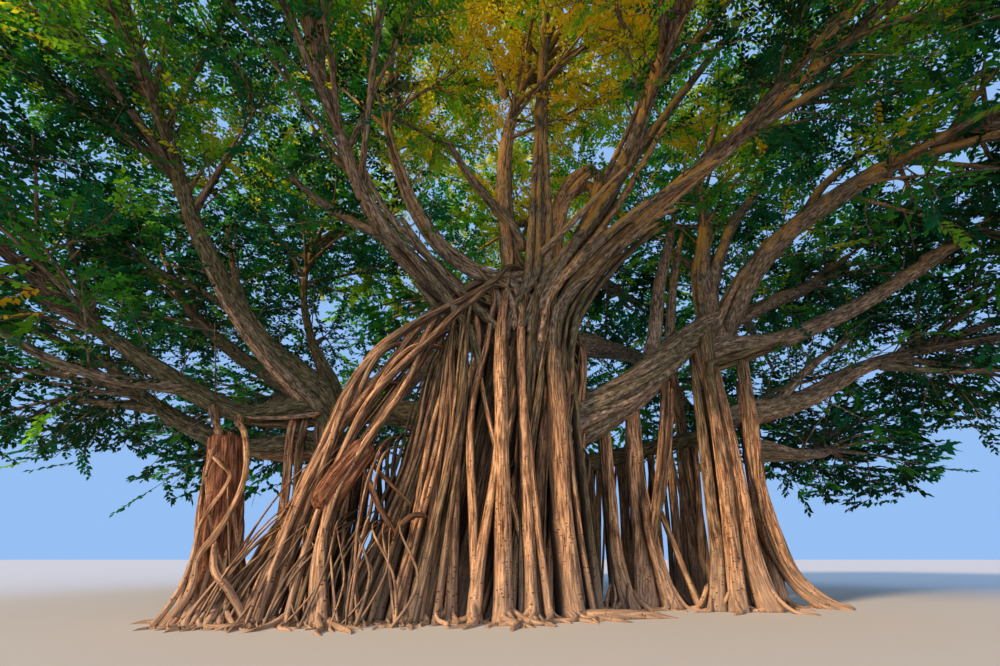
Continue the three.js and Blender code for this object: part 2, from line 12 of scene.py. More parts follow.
import bmesh
import bpy
import numpy as np
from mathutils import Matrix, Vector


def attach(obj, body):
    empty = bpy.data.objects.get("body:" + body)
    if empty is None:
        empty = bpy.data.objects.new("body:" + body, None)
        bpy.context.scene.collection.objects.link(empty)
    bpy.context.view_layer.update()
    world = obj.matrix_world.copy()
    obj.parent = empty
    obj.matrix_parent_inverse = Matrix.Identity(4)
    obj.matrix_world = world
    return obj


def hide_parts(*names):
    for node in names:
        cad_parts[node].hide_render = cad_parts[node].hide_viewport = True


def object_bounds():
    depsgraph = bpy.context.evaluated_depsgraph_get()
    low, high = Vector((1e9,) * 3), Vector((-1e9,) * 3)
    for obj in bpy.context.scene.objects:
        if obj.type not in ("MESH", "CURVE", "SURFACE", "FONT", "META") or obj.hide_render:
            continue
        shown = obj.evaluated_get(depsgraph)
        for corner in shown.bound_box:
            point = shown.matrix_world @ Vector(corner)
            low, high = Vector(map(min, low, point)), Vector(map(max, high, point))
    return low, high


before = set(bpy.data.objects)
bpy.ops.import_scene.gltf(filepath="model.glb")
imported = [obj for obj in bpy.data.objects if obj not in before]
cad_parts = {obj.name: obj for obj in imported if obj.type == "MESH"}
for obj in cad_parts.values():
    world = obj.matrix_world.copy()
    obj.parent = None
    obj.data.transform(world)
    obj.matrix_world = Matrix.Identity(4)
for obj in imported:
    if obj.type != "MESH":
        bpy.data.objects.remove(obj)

SOLID_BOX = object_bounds()
BOX_LOW, BOX_HIGH = np.array(SOLID_BOX[0]), np.array(SOLID_BOX[1])
print("solids:", len(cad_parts), "box", BOX_LOW.round(2), BOX_HIGH.round(2))

# %% [markdown]
# ## Lines that limbs follow
#
# A limb is a tube carried along a line. We give a line only the few points that its bends need, and
# fill in the rest with a cubic curve, which is how one sketches a branch by hand. Blender's own
# curve objects could do this, but arrays let us shape the bark at the same time.

# %% Smooth lines
STEPS_PER_GAP = 24


def smooth_line(points, count):
    """A curve through the points, as count points spaced evenly by length.

    Between two points it is the cubic that leaves and arrives along the mean slope there."""
    points = np.asarray(points, float)
    gaps = np.linalg.norm(np.diff(points, axis=0), axis=1)
    slopes = np.diff(points, axis=0) / gaps[:, None]
    if len(points) == 2:
        bends = np.vstack([slopes, slopes])
    else:
        weight = gaps[1:, None] / (gaps[:-1] + gaps[1:])[:, None]
        inner = slopes[:-1] * weight + slopes[1:] * (1 - weight)
        first = 1.5 * slopes[0] - 0.5 * inner[0]
        last = 1.5 * slopes[-1] - 0.5 * inner[-1]
        bends = np.vstack([first, inner, last])
    t = np.linspace(0, 1, STEPS_PER_GAP, endpoint=False)[None, :, None]
    start, end = points[:-1, None], points[1:, None]
    leave, arrive = bends[:-1, None] * gaps[:, None, None], bends[1:, None] * gaps[:, None, None]
    curve = ((2 * t**3 - 3 * t**2 + 1) * start + (t**3 - 2 * t**2 + t) * leave
             + (3 * t**2 - 2 * t**3) * end + (t**3 - t**2) * arrive)
    curve = np.vstack([curve.reshape(-1, 3), points[-1:]])
    length = np.concatenate([[0], np.cumsum(np.linalg.norm(np.diff(curve, axis=0), axis=1))])
    wanted = np.linspace(0, length[-1], count)
    return np.stack([np.interp(wanted, length, curve[:, axis]) for axis in range(3)], axis=1)


def line_length(points):
    """The length of the smooth line through the points."""
    fine = smooth_line(points, STEPS_PER_GAP * len(points))
    return float(np.linalg.norm(np.diff(fine, axis=0), axis=1).sum())


def along(values, share):
    """Reads a short list of values at a share, 0 to 1, of the way along it."""
    return np.interp(share, np.linspace(0, 1, len(values)), values)


def unit(vectors):
    """The vectors at length one."""
    return vectors / np.maximum(np.linalg.norm(vectors, axis=-1, keepdims=True), 1e-9)


# %% [markdown]
# ## Noise as whole arrays
#
# Bark is never regular. We need a random value that changes smoothly through space, so that lumps
# on one side of a root run on to the other. Each corner of a grid gets a random value, and a point
# between the corners takes a soft mix of the eight round it.

# %% Soft noise
NOISE_TABLE = 8192
CORNERS = [(x, y, z) for x in (0, 1) for y in (0, 1) for z in (0, 1)]
CORNER_KEYS = (73856093, 19349663, 83492791)


def soft_noise(places, seed):
    """Smooth noise from -1 to 1: random corner values, mixed by 3s^2 - 2s^3 of the share s."""
    table = np.random.default_rng(seed).uniform(-1, 1, NOISE_TABLE)
    cell = np.floor(places).astype(np.int64)
    share = places - cell
    share = share * share * (3 - 2 * share)
    total = np.zeros(places.shape[:-1])
    for corner in CORNERS:
        weight = np.prod(np.where(corner, share, 1 - share), axis=-1)
        keys = (cell + corner) * CORNER_KEYS
        total += weight * table[(keys[..., 0] ^ keys[..., 1] ^ keys[..., 2]) % NOISE_TABLE]
    return total


# %% [markdown]
# ## A limb with relief
#
# On the real tree a root is fluted: long ridges run down it and drift slowly round it. So the
# ridges, swellings and knots go into the radius of the tube itself.
#
# Every point also remembers four things for its colour: where it lies on the unrolled bark, how
# deep it lies in a groove, turned aside or hidden behind other roots, which is painted in as shade,
# whether it looks towards the late sun, which high up is painted in as sunlight, and which root it
# belongs to.

# %% Limbs
GRAIN_SHIFT = 37.0
SHADE_FACING = (0.72, -0.05)
VALLEY_DEPTH = 0.13
FINE_LOBES = 5
SHARP_UPRIGHT = 0.2
KNOT_LENGTH = 0.16
KNOT_TURN = 0.5
KNOT_BUMP = 0.16
KNOT_PIT = 0.1
KNOT_SHADE = 0.12
FLUTED_LENGTH = 2.6
SUNWARD = unit(np.array([-0.8, -0.45, 0.4]))
ROOT_LOBES = ((2, 0.06), (3, 0.08), (5, 0.06))
BOUGH_LOBES = ((2, 0.05), (3, 0.06), (6, 0.055))


def soft_step(value, full):
    """Zero up to a value of 0, one from the full value on, and 3s^2 - 2s^3 between."""
    share = np.clip(value / full, 0, 1)
    return share * share * (3 - 2 * share)


def side_of(line):
    """A level direction to start the rings from: across the chord, or +X on an upright limb."""
    chord = unit(line[-1] - line[0])
    level = np.array([-chord[1], chord[0], 0.0])
    return level if np.linalg.norm(level) > SHARP_UPRIGHT else np.array([1.0, 0, 0])


def bark_relief(turn, length, seed, lobes, lump, knots):
    """How far the bark stands out, as a share of the radius, and how deep its sharp valleys are.
    The valleys and the pits of the knots are later painted dark as shade.

    A sum of ridges depth * (2|cos(angle / 2)| - 1) with angle = count * turn + drift, round on top and
    sharp between, where the drift changes slowly along the limb; plus soft lumps; plus knots that
    are bumps exp(-(distance / size)^2)."""
    random = np.random.default_rng(seed)
    relief = np.zeros(np.broadcast(turn, length).shape)
    valley = np.zeros(relief.shape)
    for count, depth in lobes:
        drift = random.uniform(0, 2 * math.pi) + random.normal(0, 0.25) * length
        wander = soft_noise(np.stack([length * 0.5, length * 0 + count, length * 0], -1), seed + count)
        strength = 0.65 + 0.35 * soft_noise(np.stack([length * 0.8, length * 0, length * 0 + count], -1),
                                            seed)
        ridge = depth * strength * (2 * np.abs(np.cos((count * turn + drift + 1.4 * wander) / 2)) - 1)
        relief = relief + ridge
        valley = valley - ridge * (1.0 if count >= FINE_LOBES else 0.6)
    around = np.stack(np.broadcast_arrays(np.cos(turn) * 1.3, np.sin(turn) * 1.3, length * 1.1), -1)
    relief = relief + lump * soft_noise(around + seed % 91, seed + 5)
    fine = np.stack(np.broadcast_arrays(np.cos(turn) * 3.6, np.sin(turn) * 3.6, length * 2.6), -1)
    fine = 0.5 * lump * soft_noise(fine + seed % 57, seed + 6)
    relief, valley = relief + fine, valley - fine
    span = float(np.max(length))
    for _ in range(knots):
        place, heading = random.uniform(0.1, 0.95) * span, random.uniform(0, 2 * math.pi)
        away = np.abs((turn - heading + math.pi) % (2 * math.pi) - math.pi) / KNOT_TURN
        off = np.hypot((length - place) / KNOT_LENGTH, away)
        relief = relief + KNOT_BUMP * np.exp(-off**2) - KNOT_PIT * np.exp(-(off * 2.6)**2)
        # Painted shade in the knot's pit: it deepens the valley value, which is painted dark.
        valley = valley + KNOT_SHADE * np.exp(-(off * 2.2)**2)
    return relief, valley


def limb(points, radius, sides, spacing, seed, lobes=ROOT_LOBES, lump=0.07, knots=0, flare=0.0,
         flare_length=0.5, tone=0.5, outward=None, both_faces=False, depth_shade=None, domed=True,
         fluted=0.0):
    """A closed tube: point (i, j) = line(i) + reach(i, j) * (cos(turn j) * across + sin(turn j) * up).

    Reach is the radius along the limb, widened at the foot by flare * exp(-length / flare_length),
    times one plus the bark's relief, which is deeper at the foot of a fluted limb. The ends are
    domes, or flat where domed is off, and close in a point at the middle."""
    count = max(4, int(line_length(points) / spacing))
    line = smooth_line(points, count)
    tangent = unit(np.gradient(line, axis=0))
    side = side_of(line)
    across = unit(side - (tangent @ side)[:, None] * tangent)
    up = np.cross(tangent, across)
    step = np.linalg.norm(np.diff(line, axis=0), axis=1)
    length = np.concatenate([[0], np.cumsum(step)])[:, None]
    turn = np.linspace(0, 2 * math.pi, sides, endpoint=False)[None, :]
    thick = along(radius, np.linspace(0, 1, count))[:, None]
    thick = thick * (1 + flare * np.exp(-length / flare_length))
    if domed:
        from_end = np.clip(np.minimum(length, length[-1] - length) / thick, 0, 1)
        thick = thick * np.sqrt(np.clip(1 - (1 - from_end)**2, 0.02, 1))
    relief, valley = bark_relief(turn, length, seed, lobes, lump, knots)
    deeper = 1 + fluted * np.exp(-length / FLUTED_LENGTH)
    relief, valley = relief * deeper, valley * deeper
    spoke = np.cos(turn)[..., None] * across[:, None] + np.sin(turn)[..., None] * up[:, None]
    surface = line[:, None] + (thick * (1 + relief))[..., None] * spoke
    grain = np.stack(np.broadcast_arrays(thick * np.cos(turn), thick * np.sin(turn), length), -1)
    grain = grain + GRAIN_SHIFT * np.random.default_rng(seed + 9).uniform(-1, 1, 3)
    # Painted shade: dark in the bark's valleys, on faces turned sideways from the outward direction, and
    # where a point lies hidden behind other roots.
    groove_shade = 0.75 * soft_step(valley, VALLEY_DEPTH)
    if outward is not None:
        facing = np.einsum("ijk,ik->ij", spoke, unit(outward(line)))
        facing = np.abs(facing) if both_faces else facing
        groove_shade = np.maximum(groove_shade, soft_step(SHADE_FACING[0] - facing, SHADE_FACING[0] - SHADE_FACING[1]))
    if depth_shade is not None:
        groove_shade = np.maximum(groove_shade, depth_shade(surface))
    return close_tube(surface, line, grain, groove_shade, np.clip(spoke @ SUNWARD, 0, 1), tone)


def close_tube(surface, line, grain, groove_shade, sunward, tone):
    """Joins the rings with two triangles to each cell, and both ends with a fan to a middle point."""
    rings, sides = surface.shape[:2]
    index = np.arange(rings * sides).reshape(rings, sides)
    low, high = index[:-1], index[1:]
    low_next, high_next = np.roll(low, -1, axis=1), np.roll(high, -1, axis=1)
    walls = np.concatenate([np.stack([low, low_next, high_next], -1).reshape(-1, 3),
                            np.stack([low, high_next, high], -1).reshape(-1, 3)])
    foot, tip = rings * sides, rings * sides + 1
    first, last = index[0], index[-1]
    foot_fan = np.stack([np.full(sides, foot), np.roll(first, -1), first], -1)
    tip_fan = np.stack([np.full(sides, tip), last, np.roll(last, -1)], -1)
    ends = np.array([0, -1])
    return {
        "points": np.vstack([surface.reshape(-1, 3), line[ends]]),
        "faces": np.vstack([walls, foot_fan, tip_fan]),
        "grain": np.vstack([grain.reshape(-1, 3), grain[ends].mean(1)]),
        "groove_shade": np.concatenate([groove_shade.ravel(), groove_shade[ends].mean(1)]),
        "sunward": np.concatenate([sunward.ravel(), sunward[ends].mean(1)]),
        "tone": np.full(rings * sides + 2, tone),
    }


# %% [markdown]
# ## From arrays to a Blender object
#
# Dozens of roots become one mesh, so we stack their arrays and hand them over in one go with
# foreach_set, which is many times faster than adding vertices one by one. The tree ends in a flat
# cut at the ground: roots are modelled a little too deep, then the mesh is bisected at z = 0 and
# each hole is filled.

# %% Making pieces
piece_sizes = {}


def stack(parts):
    """Puts the arrays of many parts one after the other, with each part's faces shifted to match."""
    starts = np.cumsum([0] + [len(part["points"]) for part in parts[:-1]])
    joined = {key: np.concatenate([part[key] for part in parts]) for key in parts[0] if key != "faces"}
    joined["faces"] = np.concatenate([part["faces"] + start for part, start in zip(parts, starts)])
    return joined


def fill_mesh(name, part):
    """A mesh with the part's points and triangles, and its other arrays as attributes."""
    mesh = bpy.data.meshes.new(name)
    corners = np.ascontiguousarray(part["faces"], np.int32)
    mesh.vertices.add(len(part["points"]))
    mesh.vertices.foreach_set("co", part["points"].astype(np.float32).ravel())
    mesh.loops.add(corners.size)
    mesh.loops.foreach_set("vertex_index", corners.ravel())
    mesh.polygons.add(len(corners))
    mesh.polygons.foreach_set("loop_start", np.arange(0, corners.size, 3, dtype=np.int32))
    mesh.polygons.foreach_set("use_smooth", np.ones(len(corners), bool))
    for key, values in part.items():
        if key in ("points", "faces"):
            continue
        kind, field = ("FLOAT_VECTOR", "vector") if values.ndim == 2 else ("FLOAT", "value")
        layer = mesh.attributes.new(key, kind, "POINT")
        layer.data.foreach_set(field, values.astype(np.float32).ravel())
    mesh.update()
    return mesh


def cut_at_ground(mesh):
    """Cuts off what lies under the ground and fills the holes flat."""
    shape = bmesh.new()
    shape.from_mesh(mesh)
    everything = shape.verts[:] + shape.edges[:] + shape.faces[:]
    bmesh.ops.bisect_plane(shape, geom=everything, dist=1e-5, plane_co=(0, 0, 0), plane_no=(0, 0, 1),
                           clear_inner=True)
    rim = [edge for edge in shape.edges if edge.is_boundary]
    bmesh.ops.holes_fill(shape, edges=rim, sides=0)
    bmesh.ops.triangulate(shape, faces=[face for face in shape.faces if len(face.verts) > 4])
    shape.to_mesh(mesh)
    shape.free()


def make_piece(name, parts, material, nodes=(), at_ground=False):
    """One object from many parts, which rides with the tree and stands for some of its solids."""
    mesh = fill_mesh(name, stack(parts))
    if at_ground:
        cut_at_ground(mesh)
    mesh.materials.append(material)
    piece = bpy.data.objects.new(name, mesh)
    bpy.context.scene.collection.objects.link(piece)
    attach(piece, "root")
    if nodes:
        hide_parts(*nodes)
    piece_sizes[name] = len(mesh.loops) - 2 * len(mesh.polygons)
    print(f"{name}: {piece_sizes[name]} triangles")
    return piece


# %% [markdown]
# ## Shader building blocks
#
# Bark and dead wood share one pattern: streaks along the limb, small dark breathing pores, and a
# fine height for bump. It is built once as a node group and reused with other scales. It reads the
# unrolled bark coordinates that each limb stored, so streaks follow every bend.

# %% Node helpers and the bark pattern
def add_node(tree, kind, inputs=None, **settings):
    """Adds a node, sets its fields, and fills or links its inputs."""
    made = tree.nodes.new(kind)
    for field, value in settings.items():
        setattr(made, field, value)
    for key, value in (inputs or {}).items():
        if isinstance(value, bpy.types.NodeSocket):
            tree.links.new(value, made.inputs[key])
        else:
            made.inputs[key].default_value = value
    return made


def ramp(tree, source, stops):
    """A colour ramp over the source value, from (place, grey or colour) stops."""
    made = add_node(tree, "ShaderNodeValToRGB", {"Fac": source})
    elements = made.color_ramp.elements
    while len(elements) < len(stops):
        elements.new(0.5)
    for element, (place, shade) in zip(elements, stops):
        element.position = place
        element.color = (*(shade if isinstance(shade, tuple) else (shade,) * 3), 1)
    return made.outputs["Color"]


def mix_colour(tree, share, first, second, blend="MIX"):
    """Mixes two colours by a share."""
    made = add_node(tree, "ShaderNodeMix", data_type="RGBA", blend_type=blend)
    for key, value in ((0, share), (6, first), (7, second)):
        if isinstance(value, bpy.types.NodeSocket):
            tree.links.new(value, made.inputs[key])
        else:
            made.inputs[key].default_value = (*value, 1) if isinstance(value, tuple) else value
    return made.outputs[2]


def calculate(tree, operation, *values):
    """One step of arithmetic on values or sockets."""
    return add_node(tree, "ShaderNodeMath", dict(enumerate(values)), operation=operation).outputs[0]


def stored(tree, name, output="Fac"):
    """Reads a value that every point of the mesh remembers."""
    return add_node(tree, "ShaderNodeAttribute", attribute_name=name).outputs[output]


def noise(tree, place, scale, detail, **more):
    """Soft noise from 0 to 1 over a place."""
    inputs = {"Vector": place, "Scale": scale, "Detail": detail, **more}
    return add_node(tree, "ShaderNodeTexNoise", inputs).outputs["Fac"]


def start_group(name, inputs, outputs):
    """A node group with sockets for numbers, and the values that its inputs give."""
    group = bpy.data.node_groups.new(name, "ShaderNodeTree")
    for key, value in inputs.items():
        socket = group.interface.new_socket(key, in_out="INPUT", socket_type="NodeSocketFloat")
        socket.default_value = value
    for key in outputs:
        group.interface.new_socket(key, in_out="OUTPUT", socket_type="NodeSocketFloat")
    return group, group.nodes.new("NodeGroupInput").outputs


def build_bark_pattern():
    """Streaks: noise squeezed across the limb. Pores: small cells kept where noise allows them.
    Height: streaks plus fine noise, less the pores."""
    inputs = {"Across": 9.0, "Lengthwise": 0.9, "Pore Scale": 15.0, "Pore Amount": 0.5}
    group, given = start_group("bark_pattern", inputs, ("Streaks", "Patches", "Pores", "Height"))
    grain = stored(group, "grain", "Vector")
    widths = {"X": given["Across"], "Y": given["Across"], "Z": given["Lengthwise"]}
    stretch = add_node(group, "ShaderNodeCombineXYZ", widths).outputs[0]
    drawn = add_node(group, "ShaderNodeVectorMath", {0: grain, 1: stretch}, operation="MULTIPLY").outputs[0]
    streaks = noise(group, drawn, 1.0, 5.0, Roughness=0.62)
    patches = noise(group, grain, 1.3, 4.0, Roughness=0.6)
    squat = add_node(group, "ShaderNodeVectorMath", {0: grain, 1: (1.0, 1.0, 1.9)}, operation="MULTIPLY")
    cells = add_node(group, "ShaderNodeTexVoronoi",
                     {"Vector": squat.outputs[0], "Scale": given["Pore Scale"]})
    pores = ramp(group, cells.outputs["Distance"], ((0.12, 1.0), (0.3, 0.0)))
    allowed = ramp(group, patches, ((0.4, 0.1), (0.56, 1.0)))
    pores = calculate(group, "MULTIPLY", calculate(group, "MULTIPLY", pores, allowed), given["Pore Amount"])
    height = calculate(group, "MULTIPLY_ADD", noise(group, grain, 26.0, 3.0), 0.35, streaks)
    height = calculate(group, "SUBTRACT", height, calculate(group, "MULTIPLY", pores, 0.5))
    add_node(group, "NodeGroupOutput",
             {"Streaks": streaks, "Patches": patches, "Pores": pores, "Height": height})
    return group


def build_height_masks():
    """Low: one at the ground, fading out by Fade Height. High: one where roots turn into boughs.
    Sunlit: soft patches of painted sunlight, only high up."""
    inputs = {"Fade Height": 1.6, "Sun From": 8.0, "Sun Full": 12.5}
    group, given = start_group("height_masks", inputs, ("Low", "High", "Sunlit"))
    place = add_node(group, "ShaderNodeTexCoord").outputs["Object"]
    height = add_node(group, "ShaderNodeSeparateXYZ", {0: place}).outputs["Z"]
    low = add_node(group, "ShaderNodeMapRange", {"Value": height, 2: given["Fade Height"], 3: 1.0, 4: 0.0})
    high = add_node(group, "ShaderNodeMapRange",
                    {"Value": height, 1: given["Sun From"], 2: given["Sun Full"]})
    joint = add_node(group, "ShaderNodeMapRange", {"Value": height, 1: 3.5, 2: 8.5})
    spots = ramp(group, noise(group, place, 0.75, 3.0, Roughness=0.55), ((0.44, 0.0), (0.52, 1.0)))
    sunlit = calculate(group, "MULTIPLY", spots, high.outputs[0])
    add_node(group, "NodeGroupOutput", {"Low": low.outputs[0], "High": joint.outputs[0], "Sunlit": sunlit})
    return group


BARK_PATTERN = build_bark_pattern()
HEIGHT_MASKS = build_height_masks()

# %% [markdown]
# ## Bark
#
# Root bark is warm: tan on the crest of a root, rust where water has run, painted nearly black as
# shade in the grooves between roots, and dusty pale where it meets the soil. The boughs are greyer,
# and high in the crown, on faces towards the late sun, patches of them are painted orange as
# sunlight. Both are one recipe with other colours.

# %% Bark materials
GROOVE_SHADE = 0.93


def bark_material(name, colours, pattern, sun=0.0, low_share=0.0, bump=0.4, rough=(0.78, 0.98), cooling=0.0):
    """Base colour: streaks run through dark, middle and light and are tinted by the limb's tone, then
    dust, painted sun patches, pores and painted shade in the grooves are laid over them."""
    material = bpy.data.materials.new(name)
    material.use_nodes = True
    tree = material.node_tree
    shader = tree.nodes["Principled BSDF"]
    bark = add_node(tree, "ShaderNodeGroup", pattern, node_tree=BARK_PATTERN).outputs
    masks = add_node(tree, "ShaderNodeGroup", node_tree=HEIGHT_MASKS).outputs
    crest = ramp(tree, bark["Streaks"],
                 ((0.36, colours["dark"]), (0.49, colours["middle"]), (0.62, colours["light"])))
    mood = calculate(tree, "ADD", stored(tree, "tone"),
                     calculate(tree, "MULTIPLY_ADD", bark["Patches"], 1.0, -0.5))
    mood = calculate(tree, "SUBTRACT", mood, calculate(tree, "MULTIPLY", masks["High"], cooling))
    colour = mix_colour(tree, 1.0, crest, ramp(tree, mood, colours["tints"]), "MULTIPLY")
    low = calculate(tree, "MULTIPLY", masks["Low"], low_share)
    colour = mix_colour(tree, low, colour, colours["dusty"])
    # Painted sunlight: orange patches high up, on faces that look towards the late sun.
    facing_sun = calculate(tree, "MULTIPLY", masks["Sunlit"], stored(tree, "sunward"))
    painted_sun_glow = calculate(tree, "MULTIPLY", facing_sun, sun)
    colour = mix_colour(tree, painted_sun_glow, colour, colours["sunlit"])
    colour = mix_colour(tree, bark["Pores"], colour, colours["pore"])
    # Painted shade: grooves and hidden places that each limb marked are mixed towards near black.
    groove_shade = calculate(tree, "MULTIPLY", stored(tree, "groove_shade"), GROOVE_SHADE)
    colour = mix_colour(tree, groove_shade, colour, colours["groove_shade"])
    tree.links.new(colour, shader.inputs["Base Color"])
    roughness = add_node(tree, "ShaderNodeMapRange", {"Value": bark["Streaks"], 3: rough[1], 4: rough[0]})
    tree.links.new(roughness.outputs[0], shader.inputs["Roughness"])
    relief = add_node(tree, "ShaderNodeBump", {"Height": bark["Height"], "Strength": bump, "Distance": 0.03})
    tree.links.new(relief.outputs[0], shader.inputs["Normal"])
    shader.inputs["Specular IOR Level"].default_value = 0.25
    return material


root_bark = bark_material(
    "weathered_root_bark",
    {"dark": (0.07, 0.036, 0.02), "middle": (0.318, 0.187, 0.107), "light": (0.68, 0.46, 0.29),
     "tints": ((0.0, (0.32, 0.37, 0.3)), (0.3, (0.5, 0.48, 0.43)), (0.6, (0.92, 0.76, 0.64)),
               (0.85, (1.1, 0.95, 0.8))),
     "dusty": (0.45, 0.32, 0.23), "sunlit": (0.9, 0.42, 0.07), "pore": (0.07, 0.028, 0.014),
     "groove_shade": (0.016, 0.01, 0.008)},
    {"Across": 26.0, "Lengthwise": 2.2, "Pore Scale": 8.0, "Pore Amount": 0.95}, low_share=0.45, sun=0.6,
    cooling=0.55, bump=0.7)
bough_bark = bark_material(
    "ridged_bough_bark",
    {"dark": (0.045, 0.032, 0.025), "middle": (0.182, 0.133, 0.1), "light": (0.43, 0.325, 0.24),
     "tints": ((0.0, (0.45, 0.52, 0.34)), (0.35, (0.7, 0.7, 0.6)), (0.7, (1.05, 1.0, 0.92)),
               (1.0, (1.7, 1.35, 1.0))),
     "dusty": (0.4, 0.3, 0.2), "sunlit": (1.0, 0.5, 0.09), "pore": (0.04, 0.026, 0.02),
     "groove_shade": (0.014, 0.01, 0.009)},
    {"Across": 24.0, "Lengthwise": 5.0, "Pore Scale": 6.0, "Pore Amount": 0.75}, sun=0.95, bump=0.6)
dead_wood = bark_material(
    "split_dead_wood",
    {"dark": (0.045, 0.016, 0.009), "middle": (0.17, 0.062, 0.028), "light": (0.38, 0.17, 0.08),
     "tints": ((0.0, (0.4, 0.5, 0.55)), (0.5, (0.9, 0.85, 0.8)), (1.0, (1.0, 1.0, 1.0))),
     "dusty": (0.2, 0.1, 0.06), "sunlit": (0.6, 0.3, 0.1), "pore": (0.05, 0.015, 0.01),
     "groove_shade": (0.025, 0.009, 0.006)},
    {"Across": 26.0, "Lengthwise": 2.2, "Pore Scale": 9.0, "Pore Amount": 0.8}, bump=0.9, low_share=0.3)
print("bark materials:", [material.name for material in (root_bark, bough_bark, dead_wood)])


def root_piece(name, parts, *nodes):
    """A piece of root bark, cut flat at the ground."""
    return make_piece(name, parts, root_bark, nodes, at_ground=True)


def bough_piece(name, parts, *nodes):
    """A piece of bough bark, which stays clear of the ground."""
    return make_piece(name, parts, bough_bark, nodes)



# %% [markdown]
# ## The trunk
#
# What looks like a trunk is a core, painted dark as shade, with dozens of root columns fused round
# it. We keep that build: one fluted core, a ring of columns by rule, the columns that stand out at
# the front placed one by one, and thin roots wandering between them. Groove shade is painted by the
# way a root's surface faces: what looks away from the trunk is crest, what looks sideways is dark.

# %% Trunk sizes
CORE_LINE = [[0, 0.2, -0.4], [0.15, 0.15, 3], [0.6, 0, 6.2], [1.05, -0.15, 8.6], [1.15, -0.2, 9.7]]
CORE_RADIUS = [1.95, 1.6, 1.4, 1.3, 0.5]
CORE_SHRINK = 0.8
# count, thickness, height, distance out from the ring, lean, sides, spacing
COLUMN_LAYERS = (
    (27, (0.09, 0.19), (6.8, 9.0), (-0.18, 0.02), 0.12, 18, 0.15),
    (38, (0.05, 0.1), (5.5, 8.8), (0.0, 0.18), 0.2, 13, 0.15),
    (84, (0.018, 0.045), (3.0, 8.6), (0.08, 0.24), 0.35, 8, 0.2),
)
FOOT_CENTRE = (0, 0.1)
FOOT_RING = (2.12, 1.92)
TOP_RING = (1.12, 0.98)
TOP_CENTRE = (1.0, -0.1)
TOP_HEIGHT = 8.1
WAIST_HOLLOW = 0.16
GROUND_DEPTH = -0.25
HIDDEN_DEPTH = 0.26


def from_core(line):
    """The level direction from the core's middle to each point of the line."""
    core = smooth_line(CORE_LINE, 60)
    middle = np.stack([np.interp(line[:, 2], core[:, 2], core[:, axis]) for axis in (0, 1)], 1)
    return np.column_stack([line[:, :2] - middle, np.zeros(len(line))])


def ring_point(turn, ring, centre, height):
    """A point on an oval ring round the centre."""
    return np.array([centre[0] + ring[0] * math.cos(turn), centre[1] + ring[1] * math.sin(turn), height])


def ring_column(turn, height, lean, out):
    """A column's line: from the foot ring up to the top ring, hollowed inwards at the waist."""
    foot = ring_point(turn, FOOT_RING, FOOT_CENTRE, GROUND_DEPTH)
    top = ring_point(turn + lean, TOP_RING, TOP_CENTRE, height)
    inwards = np.array([math.cos(turn), math.sin(turn), 0])
    low = foot + (top - foot) * 0.3 - inwards * (WAIST_HOLLOW - out)
    high = foot + (top - foot) * 0.68 - inwards * (WAIST_HOLLOW * 0.4 - out)
    return [foot + inwards * out, low, high, top + inwards * out, top + inwards * (out - 0.4) + [0, 0, 0.35]]


def ring_at(height):
    """The middle and the half widths of the ring of columns at a height, hollowed at the waist."""
    share = np.clip(height / TOP_HEIGHT, 0, 1)[..., None]
    middle = np.array(FOOT_CENTRE) * (1 - share) + np.array(TOP_CENTRE) * share
    ring = np.array(FOOT_RING) * (1 - share) + np.array(TOP_RING) * share
    return middle, ring - WAIST_HOLLOW * 3 * share * (1 - share)


def shade_behind_columns(points):
    """Painted shade by how deep points lie behind the ring of columns: 0 in front of it, 1 from the
    hidden depth on.
    """
    middle, ring = ring_at(points[..., 2])
    away = np.linalg.norm((points[..., :2] - middle) / ring, axis=-1)
    return 0.96 * soft_step((1.1 - away) * ring.mean(-1), HIDDEN_DEPTH)


# %% Trunk core and its rings of columns
random = np.random.default_rng(7)
core = limb(CORE_LINE, np.array(CORE_RADIUS) * CORE_SHRINK, 110, 0.18, 3, tone=0.1, depth_shade=shade_behind_columns,
            lobes=((11, 0.05), (19, 0.04)), lump=0.05, domed=False)
column_sets, column_feet = [], []
for layer, (count, thicks, heights, outs, lean, sides, spacing) in enumerate(COLUMN_LAYERS):
    parts = []
    for index in range(count):
        turn = (index + random.uniform(-0.4, 0.4)) * 2 * math.pi / count
        thick = random.uniform(*thicks)
        line = ring_column(turn, random.uniform(*heights), random.normal(0, lean), random.uniform(*outs))
        line[1] = line[1] + random.normal(0, 0.05, 3)
        line[2] = line[2] + random.normal(0, 0.05, 3)
        parts.append(limb(line, [thick * 1.2, thick, thick * 0.95, thick * 0.7], sides, spacing,
                          100 + 100 * layer + index, flare=0.45, flare_length=0.35, lump=0.1,
                          tone=random.uniform(0.0, 0.95), outward=from_core, depth_shade=shade_behind_columns))
        column_feet += (3 - layer) * [(line[0][:2], turn, thick)]
    column_sets.append(parts)

# %% [markdown]
# ### The columns that show
#
# From the front the eye catches half a dozen columns: a pale one dead centre with a companion that
# leans against it, a reddish broad one to its right, a grey-green one beyond. Their feet, bends and
# thickness are given one by one, because no rule would land them in the right place.

